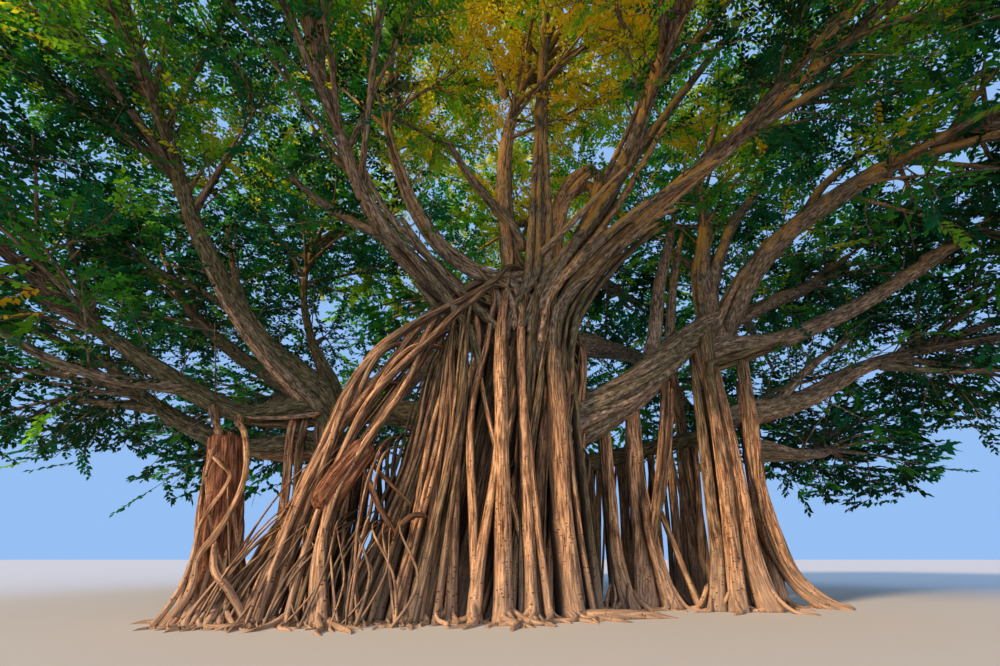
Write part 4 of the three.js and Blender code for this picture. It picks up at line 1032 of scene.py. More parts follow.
# %% Bough lines
BOUGHS = {
    "left_link_bough": (0.42, 0.34, [-0.6, 0.3, 4.1], [-2.9, 0.5, 4.9], [-5.3, 0.5, 5.0]),
    "left_bough_1": (0.28, 0.15, [-5.2, 0.5, 3.9], [-7.3, 0.7, 3.95], [-10.2, 1, 5.0], [-12.9, 1.2, 6.7]),
    "left_bough_1_fork": (0.12, 0.07, [-10.6, 1, 5.2], [-12.2, 1.1, 5.4], [-14, 1.4, 5.7]),
    "left_bough_2": (0.3, 0.17, [-5.1, 0.3, 4.9], [-7.6, 0.2, 4.85], [-10.0, -0.6, 6.0], [-12.4, -1.5, 7.5]),
    "left_bough_3": (0.22, 0.13, [-5, 0.9, 4.9], [-7, 2, 5.9], [-8.6, 4, 6.7], [-9.6, 5.6, 7.2]),
    "left_bough_4": (0.27, 0.15, [-5, 0.6, 5.0], [-6.8, 0.6, 5.95], [-8.9, 0.8, 7.2], [-11.1, 1, 9.0]),
    "left_bough_5": (0.32, 0.17, [-5, 0.4, 5.0], [-7.2, -0.5, 6.9], [-8.5, -2.1, 9.0], [-9.3, -3.8, 11.4]),
    "left_bough_6": (0.15, 0.09, [-5, 0.9, 5.3], [-6.6, 1.4, 7.9], [-7.5, 1.8, 10.2], [-7.8, 2.2, 12.3]),
    "centre_bough_1": (0.5, 0.22, [0.3, -0.5, 6.6], [-1.4, -1.3, 7.9], [-3.3, -2.6, 9.4], [-4.5, -5.2, 11.8]),
    "centre_bough_2": (0.28, 0.17, [1, -0.7, 9.0], [-0.5, -1.65, 8.4], [-1.75, -2.2, 9.0], [-3.0, -3.3, 11.2],
        [-3.6, -3.4, 14.2]),
    "centre_bough_3": (0.32, 0.18, [0.6, -0.5, 8.6], [0.15, -1.3, 11.2], [0.2, -2.3, 13.4],
        [0.7, -2.8, 15.2]),
    "centre_bough_4": (0.38, 0.2, [1.2, -0.4, 8.8], [1.4, 0, 11.6], [1.6, 1.2, 13.4], [1.2, 3.0, 14.6]),
    "centre_bough_5": (0.46, 0.22, [1.6, -0.3, 8.2], [3.2, -0.8, 11.2], [4.3, -3.0, 12.9], [4.5, -6.0, 13.4]),
    "centre_bough_6": (0.38, 0.21, [1.6, -0.4, 8.0], [4.5, -1.6, 10.6], [6.6, -3.4, 11.7], [8.0, -4.9, 12.3]),
    "arched_bough": (0.2, 0.16, [1.5, -0.3, 9.2], [2.3, -0.9, 12.2], [3.05, -0.9, 12.8], [3.4, -1.1, 11.4]),
    "right_bough_1": (0.32, 0.19, [7.0, 0.5, 7.8], [7.0, 0.3, 9.8], [7.6, 0.4, 11.8], [8.0, 0.8, 13.2]),
    "right_bough_2": (0.38, 0.21, [7.3, 0.5, 7.6], [8.6, -0.6, 9.8], [10.0, -2.2, 10.7], [11.6, -4.0, 11.0]),
    "right_bough_3": (0.25, 0.15, [7.4, 0.6, 7.8], [9.1, 0.8, 8.8], [11.2, 1.3, 9.9], [12.8, 2.0, 11.0]),
    "right_bough_4": (0.29, 0.17, [6.4, 0.4, 6.5], [9.2, 0, 7.3], [11.3, -0.9, 8.1], [12.9, -2.0, 9.0]),
    "right_bough_5": (0.3, 0.16, [7.1, 0.8, 4.9], [8.9, 0.7, 5.3], [11.4, 0.5, 6.4], [13.6, 0.8, 7.1]),
    "right_bough_6": (0.18, 0.1, [7.4, 0.9, 3.9], [9.2, 1.6, 3.95], [11.4, 3.2, 4.4], [12.6, 5.0, 4.9]),
    "back_bough_1": (0.42, 0.2, [0.6, 0.3, 7.4], [-1.6, 3.4, 8.6], [-3.2, 6.2, 9.0], [-4.4, 8.6, 9.0]),
    "back_bough_2": (0.44, 0.2, [1.2, 0.5, 7.6], [1.5, 3.6, 8.5], [2.2, 6.8, 9.2], [2.7, 9.6, 9.2]),
    "back_bough_3": (0.38, 0.2, [1.6, 0.4, 7.2], [4.4, 3.4, 8.4], [6.8, 5.8, 8.8], [8.4, 7.8, 8.8]),
    "back_bough_4": (0.36, 0.2, [1.4, 0.4, 8.4], [3.4, 2.4, 10.8], [4.8, 4.4, 12.2], [5.8, 6.0, 13.0]),
    "back_bough_5": (0.34, 0.2, [0.7, 0.4, 8.6], [-0.8, 2.6, 10.6], [-2.4, 5.2, 12.2], [-3.4, 6.8, 13.0]),
}
BOUGH_FEET = {
    "left_bough_1": [-4.8, 0.5, 2.8], "left_bough_2": [-4.75, 0.45, 3.7], "left_bough_3": [-4.9, 0.6, 3.7],
    "left_bough_4": [-4.85, 0.5, 3.8], "left_bough_5": [-4.75, 0.45, 3.9], "left_bough_6": [-4.9, 0.7, 4.2],
    "right_bough_1": [6.5, 0.5, 6.6], "right_bough_2": [6.6, 0.5, 6.5], "right_bough_3": [6.8, 0.55, 6.9],
    "right_bough_4": [6.2, 0.6, 5.6], "right_bough_5": [6.2, 1.3, 4.5], "right_bough_6": [7.15, 0.75, 3.4],
}
BRAID_LINE = [[1.9, 0.1, 4.3], [4.1, 0.2, 5.65], [5.8, 0.4, 7.1], [7.4, 0.5, 8.2]]
SIDE_LIMBS = {
    "centre_bough_3": [([[0.2, -3.0, 14.6], [-0.5, -3.8, 16.6], [-1.1, -4.4, 17.4]], [0.12, 0.09, 0.05])],
    "centre_bough_6": [([[5.7, -2.5, 11.3], [6.5, -2.6, 12.4], [6.9, -3.2, 13.6]], [0.14, 0.1, 0.06])],
    "centre_bough_1": [([[-3.0, -2.4, 9.1], [-4.65, -2.6, 9.9], [-6.1, -3.1, 10.9]], [0.16, 0.12, 0.07]),
        ([[-3.9, -3.6, 10.3], [-5.3, -3.2, 12.0], [-6.3, -2.4, 14.0]], [0.12, 0.09, 0.04])],
    "centre_bough_5": [([[3.4, -1.1, 11.5], [3.3, -0.4, 13.2], [2.9, 0.4, 14.6]], [0.12, 0.09, 0.04])],
    "left_bough_5": [([[-8.9, -3.0, 10.3], [-10.2, -4.4, 11.8], [-11.7, -6.0, 12.6]], [0.13, 0.09, 0.05]),
        ([[-7.4, -0.7, 7.2], [-9.2, -0.6, 8.4], [-11.2, -0.8, 9.4], [-12.8, -2.2, 11.2]],
        [0.14, 0.1, 0.07, 0.04]), ([[-7.6, -1.0, 7.6], [-8.9, -0.4, 9.8], [-10.2, 0.3, 12.2]],
        [0.12, 0.08, 0.04]), ([[-9.1, -3.3, 10.8], [-11.6, -4.2, 12.0], [-13.6, -4.0, 12.6]],
        [0.11, 0.08, 0.04]), ([[-8.8, -2.7, 9.9], [-8.7, -2.4, 12.2], [-8.7, -2.0, 14.4]],
        [0.11, 0.08, 0.04])],
    "left_bough_6": [([[-6.4, 1.35, 7.6], [-6.9, 3.0, 8.7], [-7.6, 5.0, 9.6]], [0.1, 0.07, 0.04])],
    "left_bough_2": [([[-9.0, -0.3, 5.4], [-11.2, -1.6, 5.5], [-13.2, -3.0, 6.6]], [0.15, 0.11, 0.06]),
        ([[-11.6, -1.15, 7.0], [-13.0, -1.6, 9.4], [-14.0, -2.0, 11.6]], [0.12, 0.08, 0.04])],
    "right_bough_1": [([[7.1, 0.35, 10.0], [6.6, 1.2, 11.6], [6.9, 1.6, 13.2]], [0.14, 0.1, 0.05]),
        ([[7.3, 0.35, 10.8], [9.0, 2.4, 11.7], [10.6, 4.6, 12.9]], [0.12, 0.08, 0.04])],
    "right_bough_2": [([[9.6, -1.7, 10.5], [10.4, -1.8, 11.7], [11.6, -2.6, 12.5], [12.8, -2.4, 13.2]],
        [0.17, 0.12, 0.08, 0.04])],
    "right_bough_3": [([[8.3, 0.7, 8.35], [9.8, 2.6, 8.3], [11.4, 4.6, 8.0]], [0.13, 0.09, 0.05])],
    "right_bough_4": [([[12.4, -1.75, 8.75], [13.6, -2.4, 9.4], [14.7, -2.9, 10.0], [15.6, -3.4, 10.7]],
        [0.17, 0.14, 0.1, 0.05]), ([[11.7, -1.2, 8.3], [12.9, -1.0, 9.1], [14.0, -1.2, 9.3],
        [15.2, -1.8, 9.2]], [0.13, 0.1, 0.07, 0.04])],
    "right_bough_5": [([[8.4, 0.75, 5.15], [9.6, 0.5, 6.3], [11.2, 0.2, 7.3]], [0.15, 0.1, 0.06]),
        ([[11.9, 0.5, 6.5], [13.2, -0.4, 5.9], [14.4, -1.2, 5.7]], [0.12, 0.08, 0.05]), ([[8.0, 0.75, 5.1],
        [9.4, 2.0, 6.2], [11.2, 2.6, 6.8], [12.6, 2.6, 7.2]], [0.12, 0.08, 0.04])],
}
TRUNK_BOUGHS = (*[f"centre_bough_{number}" for number in range(1, 7)], "arched_bough", "left_link_bough",
                *[f"back_bough_{number}" for number in range(1, 6)], "braided_bough")
SLIM = {"centre_bough_1": 0.6, "centre_bough_2": 0.62, "centre_bough_3": 0.8, "centre_bough_4": 0.8,
        "centre_bough_5": 0.66, "centre_bough_6": 0.66}
COMPANION_TURNS = (0.6, 2.7, 4.6)
COMPANION_THICK = 0.3
COMPANION_AWAY = 0.75
# The upright centre_bough_3 gets the palest tone, which paints late sunlight on it.
BOUGH_TONES = {"centre_bough_3": 0.95, "left": 0.0, "centre": 0.6, "arched": 0.9, "right": 0.5, "back": 0.5}
LINE_STEPS = 80


def bough_frame(points):
    """A fine line through the points with its direction and two directions square to it."""
    line = smooth_line(points, LINE_STEPS)
    tangent = unit(np.gradient(line, axis=0))
    side = side_of(line)
    across = unit(side - (tangent @ side)[:, None] * tangent)
    return line, tangent, across, np.cross(tangent, across)


def bough_radius(name, share):
    """The radius of a bough at a share of its way: the solid's, slimmed where companions run beside it."""
    thick, thin = BOUGHS[name][:2]
    return (thick + (thin - thick) * share) * (1 - (1 - SLIM.get(name, 1.0)) * np.clip(share * 6, 0, 1))


# %% Boughs with their fused strands
def companion(name, turn, seed):
    """A slender limb that runs beside a slimmed bough, winds a quarter turn round it and ends at its tip."""
    thick, thin, *points = BOUGHS[name]
    random = np.random.default_rng(seed)
    line, _, across, up = bough_frame(points)
    share = np.linspace(0.04, random.uniform(0.7, 1.0), 9)
    place = (share * (LINE_STEPS - 1)).astype(int)
    heading = turn + random.normal(0, 0.8) * share
    own = COMPANION_THICK * (thick + (thin - thick) * share)
    away = COMPANION_AWAY * (thick + (thin - thick) * share - own) * (1 - 0.6 * np.clip(share * 4 - 3, 0, 1))
    away = away + 0.14 * np.sin(share * math.pi) * random.uniform(0.2, 1.4)
    ring = np.cos(heading)[:, None] * across[place] + np.sin(heading)[:, None] * up[place]
    return limb(line[place] + away[:, None] * ring, own * 0.9, 14, 0.13, seed, lobes=BOUGH_LOBES, lump=0.12,
                knots=4,
                tone=random.uniform(0.2, 0.8))


def winding_strand(name, seed):
    """A strand on a bough's bark: it winds a little round the first half and sinks in at its end."""
    thick, _, *points = BOUGHS[name]
    random = np.random.default_rng(seed)
    line, _, across, up = bough_frame(points)
    reach = random.integers(24, 64)
    share = np.arange(reach) / LINE_STEPS
    turn = random.uniform(0, 2 * math.pi) + random.normal(0, 1.3) * share
    away = bough_radius(name, share) * (1.0 + 0.3 * np.exp(-share * 14))
    away = away - 0.3 * thick * np.clip(np.arange(reach) / reach * 3 - 2, 0, 1)
    ring = np.cos(turn)[:, None] * across[:reach] + np.sin(turn)[:, None] * up[:reach]
    width = random.uniform(0.05, 0.12)
    return limb((line[:reach] + away[:, None] * ring)[::6], [width * 1.4, width, width * 0.5], 12, 0.14, seed,
                tone=random.uniform(0.1, 0.9), lump=0.12)


def bough_parts(name, seed):
    """The bough itself, its side limbs and, on a thick one, the strands fused to it."""
    thick, _, *points = BOUGHS[name]
    radius = bough_radius(name, np.linspace(0, 1, 12))
    if name in BOUGH_FEET:
        points, radius = [BOUGH_FEET[name], *points], [0.55 * thick, *radius]
    tone = BOUGH_TONES.get(name, BOUGH_TONES[name.split("_")[0]])
    parts = [limb(points, radius, 32, 0.11, seed, lobes=BOUGH_LOBES, lump=0.09, knots=10,
                  flare=0 if name in BOUGH_FEET else 0.35, flare_length=0.8, tone=tone, fluted=1.6)]
    parts += [companion(name, turn, seed + 60 + index)
              for index, turn in enumerate(COMPANION_TURNS) if name in SLIM]
    for index, (line, radius) in enumerate(SIDE_LIMBS.get(name, [])):
        parts.append(limb(line, radius, 18, 0.1, seed + 40 + index, lobes=BOUGH_LOBES, lump=0.1, knots=3,
                          flare=0.6,
                          flare_length=0.3, tone=0.4))
    strands = int(thick * 15) if thick >= 0.3 else 0
    return parts + [winding_strand(name, seed * 10 + index) for index in range(strands)]


for index, name in enumerate(BOUGHS):
    bough_piece(f"{name}_bark", bough_parts(name, 10000 + 50 * index), name)


def braid_strand(start, turns, spread, radius, seed, tone):
    """A strand that winds round the braid's line: its heading grows evenly, its spread shrinks."""
    share = np.linspace(0, 1, 9)
    line = smooth_line(BRAID_LINE, 9)
    heading = start + turns * 2 * math.pi * share
    away = along(spread, share)
    offset = np.stack([0 * share, np.cos(heading) * away, np.sin(heading) * away], 1)
    sides = 30 if max(radius) > 0.2 else 10
    return limb(line + offset, radius, sides, 0.14, seed, tone=tone, lobes=BOUGH_LOBES, lump=0.14, knots=5,
                fluted=0.8)


braid = [braid_strand(index * 2 * math.pi / 5, 0.4, [0.38, 0.24], [0.32, 0.28, 0.24, 0.16], 12000 + index,
                      0.1 + 0.12 * index) for index in range(5)]
braid += [braid_strand(index * 0.33, random.uniform(0.1, 0.7), [0.66, 0.54, 0.4], [0.09, 0.075, 0.05],
                       12010 + index,
                       random.uniform(0, 0.8)) for index in range(20)]
bough_piece("braided_bough_bark", braid, "braided_bough")

# %% [markdown]
# ### In the shade behind the pillars
#
# Behind the pillars a limb runs from the trunk to the low bough on the right, with a screen of thin
# roots hanging under it. Little light gets there, which is why the gaps between the pillars look
# nearly black. The limb and these roots get dark tones of the bark, which paint that shade in.

# %% Shaded limb and its roots
SHADED_LINE = [[1.6, 0.9, 3.3], [2.85, 1.55, 3.7], [4.6, 1.6, 4.1], [6.15, 1.45, 4.45], [7.3, 1.1, 4.85]]
SHADED_ROOTS = 64

shaded = [limb(SHADED_LINE, [0.26, 0.24, 0.22, 0.22], 24, 0.12, 12200, lobes=BOUGH_LOBES, lump=0.14, knots=6,
               tone=0.05)]
bough_piece("shaded_limb", shaded, "right_bough_5")
hanging = []
for index, share in enumerate(np.linspace(0.04, 0.97, SHADED_ROOTS) ** 1.3):
    high = smooth_line(SHADED_LINE, 50)[int(share * 49)] + random.normal(0, 0.06, 3)
    low = np.array([high[0] - 0.35, high[1] + 0.1, -0.2]) + [*random.normal(0, 0.16, 2), 0]
    middle = (low + high) / 2 + random.normal(0, 0.08, 3)
    thick = random.uniform(0.03, 0.1)
    hanging.append(limb([low, middle, high], [thick * 1.3, thick, thick * 0.8], 7, 0.2, 12230 + index,
                        flare=0.4,
                        tone=random.uniform(0.05, 0.45), lump=0.12))
root_piece("shaded_roots", hanging, "prop_root_4", "prop_root_5")

# %% [markdown]
# ### Where trunk turns into bough
#
# The eye follows single roots from the trunk's ring up round the bend and out along a bough. Without
# them the boughs look plugged in. So each bough of the trunk gets a handful of flowing strands:
# a climb on the ring of columns, a bend, and a run along the bough's bark that sinks away.

# %% Flowing strands
STRANDS_PER_BOUGH = 5
STRANDS_PER_JOINT = 7
FLOW_JOINT = 5
FLOW_AHEAD = 20
PILLAR_JOINT = 2
PILLAR_LEAVE = 6
PILLAR_AHEAD = 16


def ring_surface(turn, height, out):
    """A point on the outside of the ring of columns at a height."""
    middle, ring = ring_at(height)
    ring = ring + out
    return np.array([middle[0] + ring[0] * math.cos(turn), middle[1] + ring[1] * math.sin(turn), height])


def flowing_strand(points, radii, seed):
    """A root that climbs the ring of columns, bends into a bough's foot and runs out along its bark."""
    random = np.random.default_rng(seed)
    line, tangent, _, _ = bough_frame(points)
    ahead = line[FLOW_AHEAD] - [*TOP_CENTRE, 0]
    turn = math.atan2(ahead[1], ahead[0]) + random.normal(0, 0.7)
    joint = line[FLOW_JOINT][2]
    low = max(0.8, joint - random.uniform(1.5, 4.5))
    climb = [ring_surface(turn, height, random.uniform(0.0, 0.1))
             for height in np.linspace(low, joint - 0.9, 3)]
    climb[0] = ring_surface(turn, low, -0.12)
    first = random.integers(8, 14)
    heading = climb[-1] - line[first]
    ring = unit(heading - (heading @ tangent[first]) * tangent[first])
    drift = random.normal(0, 0.9)
    run = []
    for place, share in zip(np.linspace(first, random.integers(30, 60), 4).astype(int), np.linspace(0, 1, 4)):
        square = unit(ring - (ring @ tangent[place]) * tangent[place])
        turned = square * math.cos(drift * share) + np.cross(tangent[place], square) * math.sin(drift * share)
        run.append(line[place] + radii[place] * (1.0 - 0.4 * share**2) * turned)
    width = random.uniform(0.06, 0.15)
    return limb(climb + run, [width, width * 1.1, width, width * 0.8, width * 0.45], 9, 0.18, seed,
                tone=random.uniform(0, 0.8), lump=0.12, knots=2)


def joining_strand(name, support, seed):
    """A root that climbs a pillar, bends into a bough that the pillar carries and sinks into it."""
    random = np.random.default_rng(seed)
    axis, wide = SUPPORTS[support]
    thick, thin, *points = BOUGHS[name]
    line, tangent, _, _ = bough_frame(points)
    ahead = line[PILLAR_AHEAD] - line[0]
    turn = math.atan2(ahead[1], ahead[0]) + random.normal(0, 1.0)
    joint = line[PILLAR_JOINT][2]
    climb = []
    for height in joint - np.array([random.uniform(1.2, 2.4), 0.8, 0.3]):
        share = (height - axis[0][2]) / (axis[1][2] - axis[0][2])
        middle = np.array(axis[0]) + (np.array(axis[1]) - axis[0]) * share
        climb.append(middle + wide * np.array([math.cos(turn), math.sin(turn), 0]))
    climb[0] = climb[0] - 0.5 * wide * np.array([math.cos(turn), math.sin(turn), 0])
    heading = climb[-1] - line[PILLAR_LEAVE]
    ring = unit(heading - (heading @ tangent[PILLAR_LEAVE]) * tangent[PILLAR_LEAVE])
    run = []
    for place in np.linspace(PILLAR_LEAVE + 1, random.integers(16, 34), 4).astype(int):
        square = unit(ring - (ring @ tangent[place]) * tangent[place])
        run.append(line[place] + (thick + (thin - thick) * place / LINE_STEPS) * (1.02 - place / 90) * square)
    width = random.uniform(0.05, 0.12)
    return limb(climb + run, [width * 0.5, width * 1.1, width, width * 0.4], 8, 0.15, seed,
                tone=random.uniform(0, 0.8), lump=0.12)


FORK_STRANDS = {
    "right_upper": ([[0.83, -1.4, 6.58], [0.91, -1.35, 7.12], [2.55, -1.35, 9.27], [4.22, -2, 10.57],
        [6.29, -3.4, 11.18]], 0.13, 0.35),
    "right_middle": ([[1.11, -1.3, 6.32], [1.4, -1.35, 7.75], [2.85, -1.4, 9.62], [3.8, -1.7, 10.32],
        [4.92, -2.2, 10.91], [5.85, -3, 11.02]], 0.12, 0.9),
    "right_lower": ([[1.44, -1.25, 6.19], [1.66, -1.2, 7.54], [2.97, -1.15, 9.04], [3.69, -1.35, 9.78],
        [4.78, -1.75, 10.48], [5.43, -2.2, 10.5]], 0.12, 0.45),
    "right_under": ([[1.59, -1.25, 4.78], [1.86, -1.1, 7.6], [2.31, -1, 8.33], [3.13, -1.05, 9.19],
        [3.94, -1.25, 9.82], [5, -1.7, 10.4]], 0.11, 0.2),
    "right_back": ([[1.95, -1, 4.86], [2.53, -0.85, 8.06], [3.24, -0.9, 9.07], [4.14, -1.1, 9.78],
        [5.23, -1.5, 10.41]], 0.09, 0.1),
    "rising_1": ([[0.56, -1.45, 6.71], [1.51, -1.4, 8.78], [3.13, -1.5, 11], [4, -2.3, 12.24]], 0.11, 0.3),
    "rising_2": ([[1.09, -1.4, 7.38], [1.91, -1.3, 9.16], [2.73, -1.25, 10.39], [3.52, -1.5, 11.52],
        [4.7, -3.2, 12.96]], 0.13, 0.5),
    "rising_3": ([[1.4, -1.3, 7.78], [2.35, -1.1, 9.31], [3.15, -1.1, 10.39], [3.89, -1.4, 11.4],
        [4.67, -2.3, 12.46], [5.24, -3.2, 13.19]], 0.12, 0.95),
    "upright_left": ([[0.16, -1.5, 6.37], [0.22, -1.45, 6.96], [0.8, -1.3, 8.45], [0.9, -1.3, 9.34],
        [1.02, -1.55, 10.6], [1.14, -2.15, 12.3], [1.3, -3, 13.9]], 0.12, 0.4),
    "upright_right": ([[0.79, -1.4, 6.9], [1.35, -1.2, 8.63], [1.5, -1.2, 9.42], [1.5, -2.1, 12.3],
        [1.42, -3, 13.9]], 0.13, 0.5),
    "upright_back": ([[0.46, -1.45, 7.69], [1, -1.35, 8.4], [1.2, -1.35, 9.42], [1.25, -1.7, 10.9],
        [1.33, -2.5, 12.8]], 0.12, 0.2),
    "left_sweep": ([[0.05, -1.5, 6.37], [0.06, -1.5, 6.94], [-0.41, -1.65, 8.28], [-0.93, -1.85, 8.53],
        [-2.01, -2.5, 9.56], [-2.53, -2.9, 10.33]], 0.11, 0.45),
    "left_sweep_2": ([[0.39, -1.45, 6.71], [0.15, -1.5, 8.07], [-0.18, -1.6, 8.42], [-0.7, -1.75, 8.46],
        [-1.83, -2.4, 9.24]], 0.09, 0.85),
    "pale_back": ([[0.68, -1.4, 7.06], [0.16, -1.2, 9.9], [0.06, -1.4, 10.97], [0, -1.8, 12.11]], 0.1, 0.9),
    "left_bough_top": ([[0.14, -1.5, 6.53], [-1.41, -2.15, 7.9], [-2.03, -2.7, 8.44], [-2.63, -3.4, 9.1]],
        0.12, 0.3),
    "left_bough_side": ([[-0.52, -1.6, 5.17], [-0.64, -1.65, 6], [-0.92, -1.8, 6.68], [-1.39, -2.05, 7.28],
        [-2.57, -3, 8.43]], 0.13, 0.2),
    "left_bough_low": ([[-0.76, -1.6, 4.63], [-0.95, -1.6, 5.73], [-1.3, -1.75, 6.55], [-2.34, -2.5, 7.66]],
        0.1, 0.1),
}
# The two arches get the palest tone, 1.0, which paints late sunlight on them.
FORK_LIMBS = {
    "upright": ([[1.1, -0.9, 8.6], [1.25, -1.15, 10.2], [1.31, -2, 12.4], [1.36, -3.3, 14.5],
        [1.44, -4.8, 16.3]], 0.24, 0.3),
    "rising_right": ([[2.6, -1.2, 10.2], [4.54, -2.4, 12.8], [6.18, -3.5, 14.7], [7.6, -4.8, 16]],
        0.15, 0.15),
    "crossing": ([[0.94, -1.1, 9.31], [1.29, -1.35, 9.5], [3.2, -2.1, 11.29], [3.97, -2.6, 11.89]], 0.1, 0.6),
    "leaning_left": ([[0.77, -1, 9.78], [0.61, -1.15, 10.18], [-0.19, -1.7, 11.07], [-1, -2.4, 11.72],
        [-1.6, -3.2, 12.27]], 0.15, 0.35),
    "arch_left": ([[1.45, -1, 9.38], [1.66, -1.15, 10.56], [2.8, -1.4, 12.93], [3.2, -1.4, 13.12],
        [3.29, -1.3, 12.41]], 0.16, 1.0),
    "arch_right": ([[1.77, -1, 9.38], [3.04, -1.35, 12.79], [3.3, -1.35, 12.98], [3.18, -1.2, 11.82],
        [2.82, -1, 10.47]], 0.14, 1.0),
    "braid_stem_left": ([[4.6, 0.3, 6.0], [5.0, 0.4, 7.4], [5.5, 0.45, 9.4], [6.15, 0.5, 11.2],
        [6.8, 0.7, 12.9]], 0.2, 0.6),
    "braid_stem_right": ([[5.3, 0.4, 6.6], [5.7, 0.5, 8.2], [6.0, 0.5, 9.4], [7.0, 0.6, 12.3]], 0.14, 0.4),
    "right_fork": ([[6.9, 0.45, 7.8], [7.25, 0.35, 9.3], [7.95, 0.3, 10.8], [8.66, 0.4, 12.05],
        [10.0, 0.2, 13.7]], 0.2, 0.6),
}
SUPPORTS = {
    "left_trunk": ([[-4.6, 0.5, 1.5], [-5.05, 0.5, 5.2]], 0.36),
    "prop_root_1": ([[5.9, 0.1, 2.7], [6.5, 0.45, 7.6]], 0.36),
    "prop_root_2": ([[7.15, 0.65, 3.0], [7.55, 0.65, 6.6]], 0.22),
}
CARRIED = {
    "left_trunk": [f"left_bough_{number}" for number in range(1, 7)],
    "prop_root_1": [f"right_bough_{number}" for number in range(1, 5)],
    "prop_root_2": ["right_bough_5", "right_bough_6"],
}
flowing = [limb(line, [radius * 0.8, radius * 1.1, radius, radius * 0.85, radius * 0.5], 16, 0.12,
                12900 + index,
                tone=tone, lump=0.12, knots=3)
           for index, (line, radius, tone) in enumerate(FORK_STRANDS.values())]
for number, name in enumerate(TRUNK_BOUGHS):
    points = BOUGHS[name][2:] if name in BOUGHS else BRAID_LINE
    radii = bough_radius(name, np.linspace(0, 1, LINE_STEPS)) if name in BOUGHS else np.linspace(0.6, 0.45,
                                                                                                 LINE_STEPS)
    flowing += [flowing_strand(points, radii, 13000 + 50 * number + index)
                for index in range(STRANDS_PER_BOUGH)]
bough_piece("junction_strands", flowing, "trunk")
fork_limbs = [limb(line, [radius * 1.3, radius, radius * 0.85, radius * 0.5], 18, 0.1, 13800 + index,
                   tone=tone,
                   lump=0.1, knots=4, lobes=BOUGH_LOBES)
              for index, (line, radius, tone) in enumerate(FORK_LIMBS.values())]
bough_piece("fork_limbs", fork_limbs, "arched_bough", "centre_bough_3", "centre_bough_4", "centre_bough_5",
            "right_bough_1")
for support, names in CARRIED.items():
    joining = [joining_strand(name, support, 14000 + 20 * number + len(name) + index)
               for number, name in enumerate(names) for index in range(STRANDS_PER_JOINT)]
    make_piece(f"{support}_joining_strands", joining, root_bark, [support])

# %% [markdown]
# ## The crown's rule
#
# The crown is too rich to draw, so it grows by a rule. Twenty-two masses each keep to an oval
# space. A stem carries on from the bough's tip to the middle of the space; branches leave it by
# the golden turn, the angle that plants use so that no two leaves line up; and every branch feeds
# points spread evenly through the space. The first branches are the same that the solids have.

# %% Masses
MASSES = {
    "foliage_left_low": ("left_bough_1", [-15.0, 1.8, 6.5], [3.2, 4.2, 3.0]),
    "foliage_left_front": ("left_bough_2", [-13.8, -4.0, 9.2], [4.2, 4.4, 3.2]),
    "foliage_left_back": ("left_bough_3", [-12.0, 8.0, 6.7], [4.4, 4.2, 3.6]),
    "foliage_left_mid": ("left_bough_4", [-12.6, 2.6, 11.0], [4.2, 4.8, 2.9]),
    "foliage_left_high": ("left_bough_5", [-9.4, -5.9, 13.1], [4.3, 4.5, 2.9]),
    "foliage_left_top": ("left_bough_6", [-7.4, 3.0, 14.2], [4.3, 4.8, 3.0]),
    "foliage_front_left": ("centre_bough_1", [-4.0, -8.8, 13.9], [4.2, 4.2, 2.9]),
    "foliage_top_left": ("centre_bough_2", [-3.3, -2.4, 16.3], [4.1, 4.4, 2.6]),
    "foliage_top_front": ("centre_bough_3", [2.8, -4.1, 16.5], [4.2, 4.4, 2.6]),
    "foliage_top_back": ("centre_bough_4", [0.8, 4.6, 16.0], [4.8, 4.6, 2.9]),
    "foliage_front_right": ("centre_bough_5", [3.6, -9.6, 13.4], [4.4, 4.2, 2.8]),
    "foliage_right_high": ("centre_bough_6", [9.6, -7.2, 12.8], [4.3, 4.5, 3.0]),
    "foliage_right_top": ("right_bough_1", [8.4, 1.0, 15.0], [4.4, 5.0, 2.8]),
    "foliage_right_front": ("right_bough_2", [13.4, -5.6, 10.0], [4.0, 4.2, 3.2]),
    "foliage_right_mid": ("right_bough_3", [14.0, 2.8, 11.4], [4.0, 4.6, 2.9]),
    "foliage_right_side": ("right_bough_5", [15.6, 0.0, 7.2], [3.2, 4.0, 3.2]),
    "foliage_right_low": ("right_bough_6", [14.6, 6.8, 5.9], [3.9, 4.0, 3.1]),
    "foliage_back_left": ("back_bough_1", [-5.4, 11.3, 8.4], [4.8, 4.0, 3.9]),
    "foliage_back": ("back_bough_2", [2.9, 12.3, 8.7], [4.6, 3.9, 3.9]),
    "foliage_back_right": ("back_bough_3", [10.0, 10.6, 8.6], [4.6, 4.2, 3.8]),
    "foliage_high_right": ("back_bough_4", [6.8, 8.0, 13.2], [4.8, 4.6, 3.0]),
    "foliage_high_left": ("back_bough_5", [-4.4, 8.6, 13.2], [4.8, 4.6, 3.0]),
}
GOLDEN_TURN = math.pi * (3 - math.sqrt(5))
GOLDEN_SHARE = 0.618034
BRANCHES_PER_MASS = 14
BRANCH_REACH = 0.86
BRANCH_RISE = (0.92, -0.7)
NEAR_MASSES = ("foliage_left_high", "foliage_front_left", "foliage_top_left", "foliage_top_front",
               "foliage_front_right", "foliage_right_high")
BACK_MASSES = ("foliage_left_back", "foliage_right_low", "foliage_back_left", "foliage_back",
               "foliage_back_right",
               "foliage_high_right", "foliage_high_left")
TIPS = {"near": 388, "middle": 212, "back": 102}
OPEN_MASSES = {"foliage_left_low": 0.6, "foliage_right_side": 0.7}
LEAF_SCALES = {"near": 0.66, "middle": 0.86, "back": 1.2}
TIP_SHELL = (0.3, 1.05)
CROWN_ROOT = np.array([0.5, 0.0, 7.0])
INNER_KEPT = 0.5
SHOOT_SPACING = 0.4
SHOOT_LENGTH = (0.8, 2.5)
STEM_BEND = 0.35
STEM_END = 0.06
LEADER_THICK = (0.07, 0.16)
SIDE_POINTS = 3
STEM_POINTS = 24
BRANCH_POINTS = 14
BOUGH_POINTS = 60
